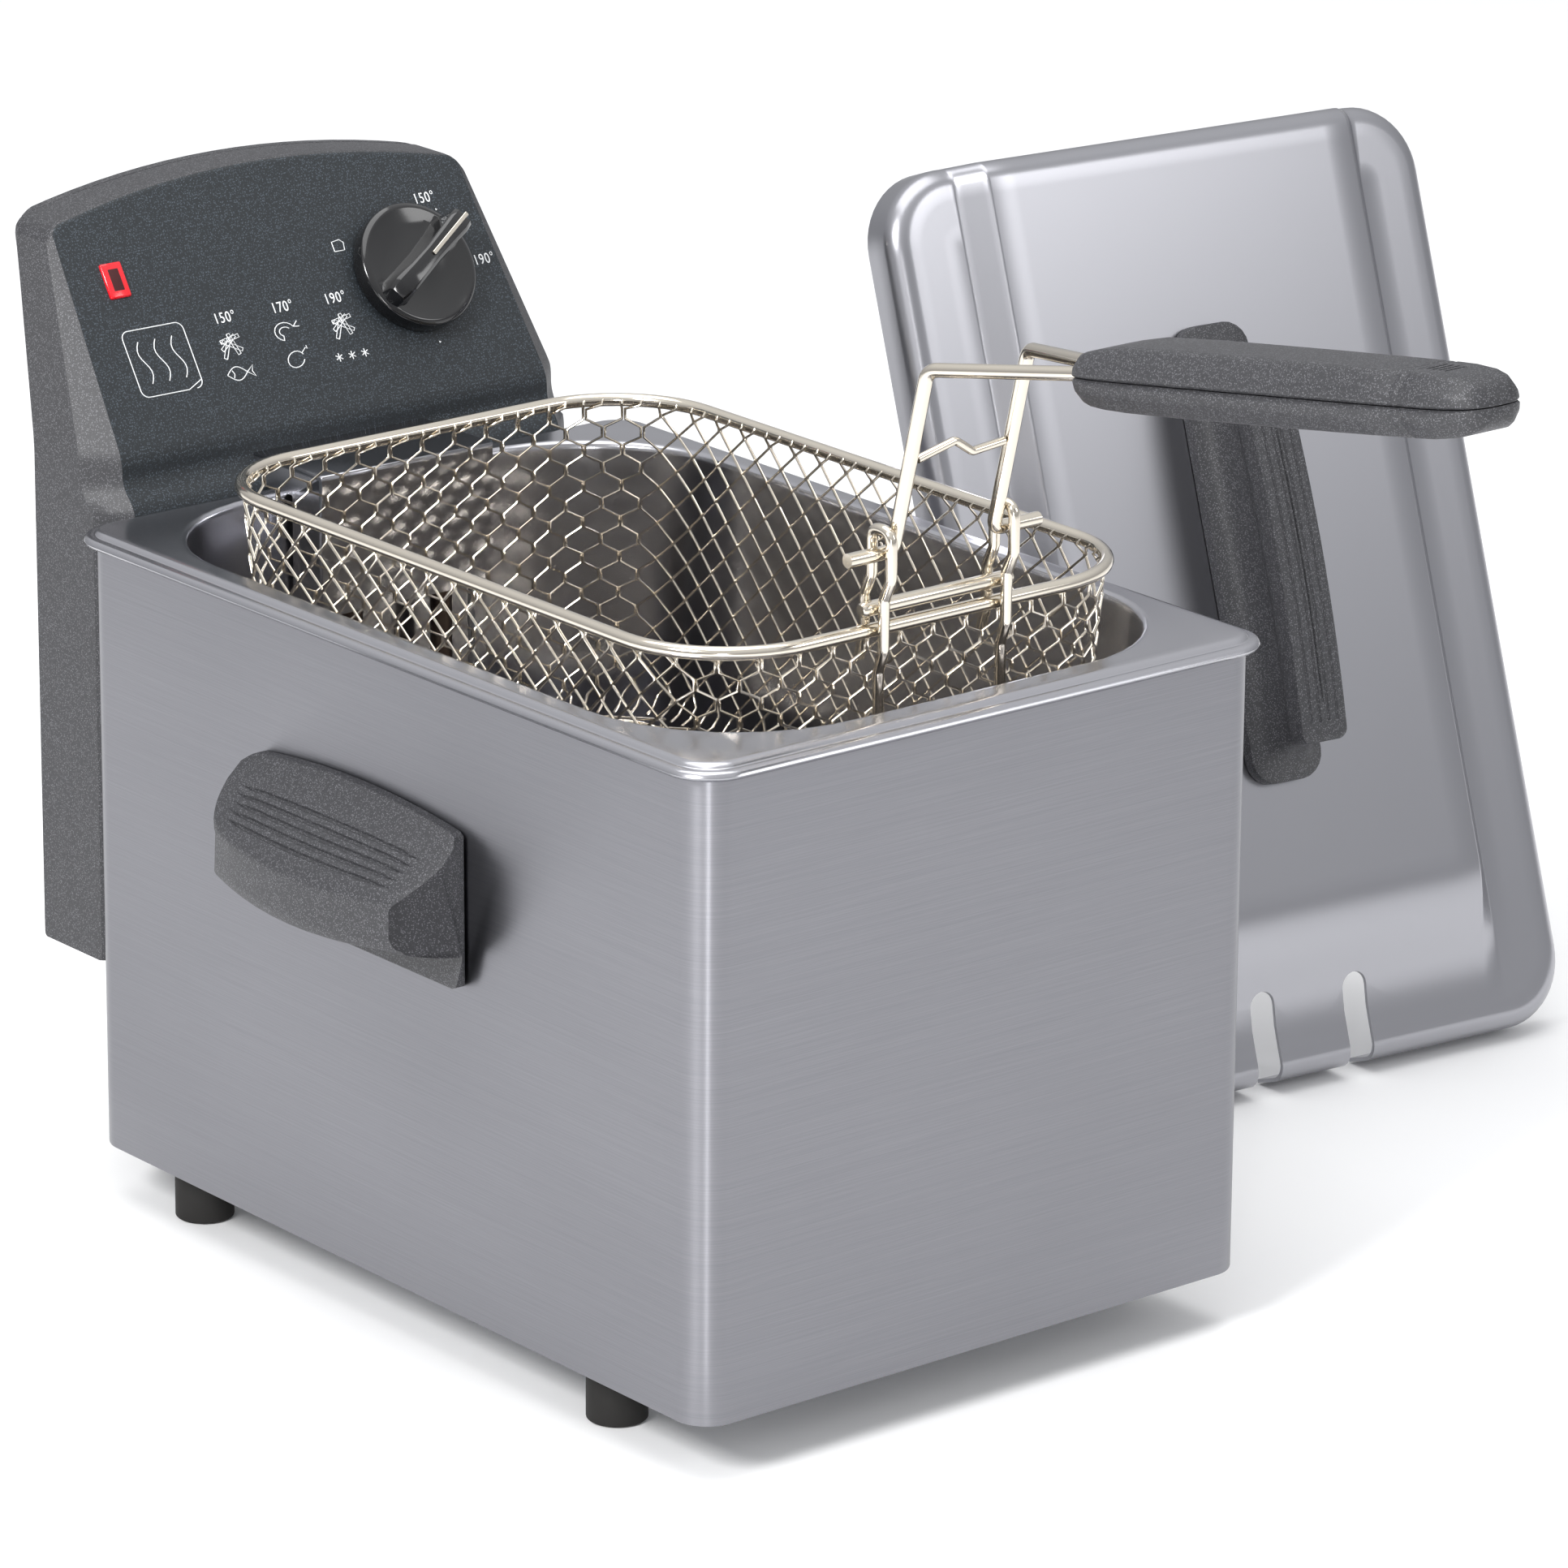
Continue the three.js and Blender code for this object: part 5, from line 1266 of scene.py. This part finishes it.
@dataclass
class Handle:
    """The folding handle: one bent wire with its spacer, and a hold in two halves."""

    pivot_y: float = -120.5
    pivot_z: float = 223.5
    leg: float = 17.3
    pin: float = 33.0
    corner_y: float = -133.5
    corner_z: float = 275.5
    entry_y: float = -180.0
    entry_z: float = 282.5
    arm: float = 5.5
    slope: float = 8.8
    length: float = 148.0
    width: float = 27.0
    height: float = 18.0
    wire_inside: float = 70.0
    spacer_up: float = 26.0

    def build(self) -> None:
        """Builds the handle."""
        self.wire()
        self.spacer()
        self.hold_half("upper", 1)
        self.hold_half("lower", -1)
        refine("handle_screw_near", Body.HANDLE, ZINC_STEEL)
        refine("handle_screw_far", Body.HANDLE, ZINC_STEEL)

    def wire(self) -> None:
        """The handle's wire, from one pin to the other."""
        slope = math.radians(self.slope)
        end_y = self.entry_y - self.wire_inside * math.cos(slope)
        end_z = self.entry_z + self.wire_inside * math.sin(slope)
        half = [Vector((-self.pin, self.pivot_y, self.pivot_z)), Vector((-self.leg, self.pivot_y, self.pivot_z)),
                Vector((-self.leg, self.corner_y, self.corner_z)), Vector((-self.arm, self.entry_y, self.entry_z)),
                Vector((-self.arm, end_y, end_z))]
        whole = half + [Vector((-p.x, p.y, p.z)) for p in reversed(half)]
        path = round_path(whole, [0, 3, 5, 5, 5, 5, 5, 5, 3, 0], 7)
        settle_wire([path], 2.0, 4, "bent_handle_wire", Body.HANDLE, "handle_wire")

    def spacer(self) -> None:
        """The thin kinked wire between the legs."""
        part = self.spacer_up / (self.corner_z - self.pivot_z)
        y, z = self.pivot_y + (self.corner_y - self.pivot_y) * part, self.pivot_z + self.spacer_up
        end = self.leg - 2.4
        kinks = [(-end, 0), (-2, 3), (4, -1), (end, 0)]
        path = round_path([Vector((x, y, z + rise)) for x, rise in kinks], 2, 5)
        settle_wire([path], 1.2, 3, "spacer_wire", Body.HANDLE, "handle_spacer")

    def hold_half(self, name: str, up: int) -> None:
        """One half of the hold, with a flat top and a full, rounded end.

        Args:
            name: upper or lower.
            up: 1 above the seam, -1 below it.
        """
        size = self.length
        stations = [(0, 0.72), (0.5, 0.78), (1.6, 0.84), (4, 0.9), (9, 0.95), (18, 0.985), (40, 1.0), (80, 0.99),
                    (size - 40, 0.97), (size - 27.6, 0.955), (size - 27, 0.93), (size - 26.2, 0.93),
                    (size - 25.6, 0.95), (size - 24.6, 0.95), (size - 24, 0.925), (size - 23.2, 0.925),
                    (size - 22.6, 0.95), (size - 16, 0.93), (size - 9, 0.86), (size - 5, 0.76), (size - 2.4, 0.62),
                    (size - 0.9, 0.45), (size - 0.1, 0.2)]
        half = self.width / 2
        tall = self.height / 2 - 0.25
        corners = [(half - 1.0, 0.15), (half, 1.0), (half - 0.6, 4.0), (9.2, tall), (-9.2, tall), (-half + 0.6, 4.0),
                   (-half, 1.0), (-half + 1.0, 0.15)]
        flat = round_path([Vector((x, y, 0)) for x, y in corners], [0, 0.8, 2.5, 3.2, 3.2, 2.5, 0.8, 0], 4)
        seam = flat + [flat[-1].lerp(flat[0], k / 4) for k in (1, 2, 3)]

        def place(i: int, j: int) -> Vector:
            along, share = stations[j]
            point = seam[i]
            dip = 1.6 * (1 - ease(along, 0, 22)) * max(point.y, 0) / tall if up > 0 else 0.0
            return Vector((point.x * share, up * max(point.y * share - dip, 0.15), along))

        piece = lay_grid(len(seam), len(stations), place, cap=True)
        smooth(piece, 34)
        if up > 0:
            self.serrate(piece)
        slope = math.radians(self.slope)
        spot = Matrix.Translation((0, self.entry_y - 2, self.entry_z + 2 * math.sin(slope)))
        spot = spot @ Matrix.Rotation(math.pi / 2 - slope, 4, "X")
        move_by(piece, spot)
        settle(piece, f"hold_{name}", Body.HANDLE, CHARCOAL, f"grip_{name}")

    def serrate(self, piece: bpy.types.Object) -> None:
        """Cuts a row of small notches across the top, near the end."""
        for k in range(6):
            tool = add_block((7.0, 1.4, 0.8), (0, self.height / 2 * 0.96, self.length - 22 + 2.2 * k))
            combine(piece, tool, "DIFFERENCE")
        smooth(piece, 34)


# ---- Lid


@dataclass
class Lid:
    """The loose lid, standing on its slotted end: a pressed shell with a raised panel, and its handle."""

    width: float = 196.0
    length: float = 286.2
    skirt: float = 15.0
    sheet: float = 1.2
    corner: float = 22.0
    turn_in: float = 6.0
    rise: float = 8.4
    margin: float = 24.0
    bevel: float = 8.0
    fade_from: float = 14.0
    fade_to: float = 54.0
    slot_x: float = 17.3
    slot_width: float = 9.0
    slot_length: float = 28.0
    stand_x: float = 243.8
    stand_z: float = -17.0
    lean: float = 19.5
    turn: float = -5.6
    handle_length: float = 139.0
    handle_centre: float = 158.1
    handle_width: float = 26.0
    handle_height: float = 29.0
    handle_end_height: float = 25.0
    cap_length: float = 118.0
    cap_width: float = 17.0

    def build(self) -> None:
        """Builds the lid and its handle."""
        self.shell()
        self.grip()
        refine("lid_screw_low", Body.LID, ZINC_STEEL)
        refine("lid_screw_high", Body.LID, ZINC_STEEL)

    def stand(self) -> Matrix:
        """The lid's own place: X across, Y up the lid, Z outwards."""
        return (Matrix.Translation((self.stand_x, 0, self.stand_z)) @ Matrix.Rotation(math.radians(self.turn), 4, "Z")
                @ Matrix.Rotation(math.pi / 2 - math.radians(self.lean), 4, "X"))

    def shell(self) -> None:
        """The shell: skirt, rounded edge, margin, and a raised panel that dies away at the slotted end."""
        profile = [(0.0, 0.4), (0.0, 4.0), (0.0, self.skirt - self.turn_in)]
        for angle in (15, 30, 45, 60, 75, 90):
            a = math.radians(angle)
            profile.append((self.turn_in * (1 - math.cos(a)), self.skirt - self.turn_in * (1 - math.sin(a))))
        profile += [(self.turn_in + 4, self.skirt), (self.turn_in + 11, self.skirt), (self.margin, self.skirt)]
        piece = skin([self.round_ring(inset, z) for inset, z in profile])
        across, along = self.stations()
        middle = lay_grid(
            len(across), len(along), lambda i, j: self.raised(across[i], along[j], self.skirt), wrap=False)
        hold(piece)
        middle.select_set(True)
        bpy.ops.object.join()
        with editing(piece):
            bpy.ops.mesh.remove_doubles(threshold=MERGE * 5 * MM)
            bpy.ops.mesh.normals_make_consistent(inside=False)
        modify(piece, "SOLIDIFY", thickness=self.sheet * MM, offset=-1.0)
        self.cut_slots(piece)
        smooth(piece, 40)
        move_by(piece, self.stand())
        settle(piece, "pressed_lid", Body.LID, LID_STEEL, "lid_shell")

    def stations(self) -> tuple[list[float], list[float]]:
        """The places across and along that the panel's grid has, close together at the bevels."""
        foot = self.width / 2 - self.margin
        bends = [foot - self.bevel * share for share in (0, 0.06, 0.14, 0.24, 0.5, 0.76, 0.86, 0.94, 1)]
        right = [0.0, 7.0, 12.8, 15.0, 17.3, 19.6, 21.8, 32.0, 45.0, 57.0, *reversed(bends)]
        across = [-x for x in reversed(right[1:])] + right
        along = [self.margin + 2.5 * k for k in range(13)] + [self.fade_to + 4 + 14.0 * k for k in range(14)]
        return across, [y for y in along if y < self.length - self.margin - 4] + [self.length - self.margin]

    def raised(self, x: float, y: float, z: float) -> Vector:
        """A point lifted by the raised panel where the panel is.

        Args:
            x: its place across.
            y: its place up the lid.
            z: its height without the panel.

        Returns:
            The point.
        """
        foot = self.width / 2 - self.margin
        share = min(max((foot - abs(x)) / self.bevel, 0.0), 1.0)
        soft = 0.12
        if share < soft:
            share = share * share / (2 * soft)
        elif share > 1 - soft:
            share = 1 - (1 - share) ** 2 / (2 * soft) - soft
        else:
            share -= soft / 2
        lift = share / (1 - soft)
        return Vector((x, y, z + self.rise * min(lift, 1.0) * ease(y, self.fade_from, self.fade_to)))

    def round_ring(self, inset: float, z: float) -> Path:
        """A ring round the lid whose corners grow square as it moves in.

        Args:
            inset: how far in from the rim.
            z: its height at the margin.

        Returns:
            Its points, anticlockwise from the slotted end's left.
        """
        across, along = self.stations()
        far_x, far_y = self.width / 2 - inset, self.length / 2 - inset
        radius = self.corner * (1 - inset / self.margin)
        middle = self.length / 2
        points: list[Pair] = []
        runs = [[(x, inset) for x in across], [(far_x, y) for y in along],
                [(x, self.length - inset) for x in reversed(across)], [(-far_x, y) for y in reversed(along)]]
        for run, (sx, sy, start) in zip(runs, CORNERS):
            cx, cy = sx * (far_x - radius), middle + sy * (far_y - radius)
            points += run + arc(cx, cy, radius, start, 12)
        return [self.raised(x, y, z) for x, y in points]

    def cut_slots(self, piece: bpy.types.Object) -> None:
        """Cuts the two slots that let the handle's legs through."""
        half = self.slot_width / 2
        for side in Side:
            x = side.value * self.slot_x
            plan = [(x + half, -6.0), *arc(x, self.slot_length - half, half, 0, 15, 180.0), (x - half, -6.0)]
            rings = [[Vector((px, py, z)) for px, py in plan] for z in (-2.0, self.skirt + self.rise + 4)]
            combine(piece, skin(rings, cap=True), "DIFFERENCE")

    def grip(self) -> None:
        """The lid's handle: a round-ended foot, a hollowed neck and a grooved cap with a bowed crest."""
        half, wide = self.handle_length / 2, self.handle_width / 2
        cap, top = self.cap_width / 2, self.handle_height
        reach = self.cap_length / 2
        levels = [(wide, half, 8.0, 0.0), (wide, half, 8.0, 2.8), (wide - 0.3, half - 0.3, 7.8, 3.6),
                  (wide - 1.2, half - 1.2, 7.0, 4.1), (wide - 3.4, half - 4.0, 5.5, 4.9), (8.0, half - 6.6, 4.5, 6.6),
                  (6.8, half - 8.6, 3.8, 9.2), (6.1, reach + 0.2, 3.2, 12.6), (5.9, reach - 0.4, 3.0, 16.4),
                  (6.3, reach - 0.5, 3.0, 19.0), (7.3, reach - 0.2, 3.0, 20.6), (cap - 0.3, reach, 3.0, 21.4),
                  (cap, reach, 3.0, 22.4), (cap, reach, 3.0, top - 1.2), (cap - 0.3, reach - 0.3, 2.8, top - 0.5),
                  (cap - 1.0, reach - 1.0, 2.4, top - 0.15), (cap - 2.0, reach - 2.0, 1.8, top - 0.1),
                  (cap - 5.0, reach - 6.0, 1.0, top), (0.4, reach - 10.0, 0.2, top)]
        drop = self.handle_height - self.handle_end_height

        def lowered(x: float, y: float, z: float) -> Vector:
            return Vector((x, y + self.handle_centre, self.skirt + self.rise + 0.3 + z
                           - drop * (y / reach) ** 2 * ease(z, 10, 24)))

        rings = [[lowered(x, y, z) for x, y in outline(half_x, half_y, corner, steps=5, straight=14)]
                 for half_x, half_y, corner, z in levels]
        piece = skin(rings, cap=True)
        grooves = [[lowered(x, (reach - 6) * (k / 6 - 1), top + 0.05) for k in range(13)]
                   for x in (-4.8, -1.6, 1.6, 4.8)]
        combine(piece, make_wires(grooves, 0.5, 2), "DIFFERENCE")
        smooth(piece, 36)
        move_by(piece, self.stand())
        settle(piece, "lid_grip", Body.LID, CHARCOAL, "lid_handle")


# ---- Studio


@dataclass
class Studio:
    """Floor, lights and camera."""

    floor_z: float = -17.0
    yaw: float = -39.263
    pitch: float = 18.058
    roll: float = 0.422
    distance: float = 2.2812
    target: tuple[float, float, float] = (0.0447, 0.0, 0.1156)
    lens: float = 185.27

    def build(self) -> None:
        """Sets the studio up."""
        self.floor()
        self.sky()
        for name, place, width, tall, power in (
                ("key", (1.05, -1.6, 1.15), 0.6, 0.6, 4.0), ("left", (-1.65, -0.45, 1.4), 0.55, 0.55, 34.0),
                ("top", (0.0, 0.2, 2.4), 2.2, 2.2, 30.0), ("corner", (-1.05, -1.25, 0.3), 0.08, 0.6, 5.0)):
            self.softbox(name, place, width, tall, power)
        self.camera()

    def floor(self) -> None:
        """A plain pale floor."""
        deselect()
        bpy.ops.mesh.primitive_circle_add(
            vertices=96, radius=14, fill_type="NGON", location=(0, 0, self.floor_z * MM - 0.0002))
        piece = bpy.context.object
        piece.name = "studio_floor"
        piece.data.materials.append(Finish("matt_floor", "floor", "#f6f6f6", 0.9).material())

    def sky(self) -> None:
        """Even, soft light from all round."""
        world = bpy.data.worlds.new("studio_light")
        world.use_nodes = True
        tree = world.node_tree
        ground = tree.nodes["Background"]
        spot = add_node(tree, "ShaderNodeTexCoord").outputs["Generated"]
        height = add_node(tree, "ShaderNodeSeparateXYZ", inputs={"Vector": spot}).outputs["Z"]
        color = add_ramp(tree, height, [(0.0, "#b4b5b8"), (0.22, "#c4c5c8"), (0.7, "#f4f5f7")])
        tree.links.new(color, ground.inputs["Color"])
        ground.inputs["Strength"].default_value = 0.9
        bpy.context.scene.world = world
        bpy.context.scene.view_settings.view_transform = "Standard"

    def softbox(self, name: str, place: tuple[float, float, float], width: float, tall: float,
                power: float) -> None:
        """A soft light that faces the fryer.

        Args:
            name: the light's name.
            place: where it hangs, in metres.
            width: its width, in metres.
            tall: its height, in metres.
            power: its strength in watts.
        """
        light = bpy.data.lights.new(name, "AREA")
        light.shape = "RECTANGLE"
        light.size = width
        light.size_y = tall
        light.energy = power
        lamp = bpy.data.objects.new(name, light)
        bpy.context.scene.collection.objects.link(lamp)
        lamp.location = place
        lamp.rotation_euler = (Vector(place) - Vector((0, 0, 0.1))).to_track_quat("Z", "Y").to_euler()

    def camera(self) -> None:
        """The camera, a long lens from the front left and a little above."""
        yaw, pitch, roll = (math.radians(a) for a in (self.yaw, self.pitch, self.roll))
        back = Vector((math.sin(yaw) * math.cos(pitch), -math.cos(yaw) * math.cos(pitch), math.sin(pitch)))
        right = Vector((math.cos(yaw), math.sin(yaw), 0))
        up = back.cross(right)
        across = right * math.cos(roll) + up * math.sin(roll)
        above = up * math.cos(roll) - right * math.sin(roll)
        data = bpy.data.cameras.new("studio_camera")
        data.lens = self.lens
        data.sensor_width = 36
        data.clip_end = 60
        camera = bpy.data.objects.new("studio_camera", data)
        bpy.context.scene.collection.objects.link(camera)
        turn = Matrix((across, above, back)).transposed().to_4x4()
        camera.matrix_world = Matrix.Translation(Vector(self.target) + back * self.distance) @ turn
        bpy.context.scene.camera = camera


def main() -> None:
    """Builds the studio and the fryer, one sub-assembly after the other."""
    logging.basicConfig(level=logging.INFO, format="%(name)s: %(message)s")
    Studio().build()
    for part in (Base(), Bowl(), ControlUnit(), Basket(), Handle(), Lid()):
        part.build()
        LOG.info("%s done", type(part).__name__)


if __name__ == "__main__":
    main()
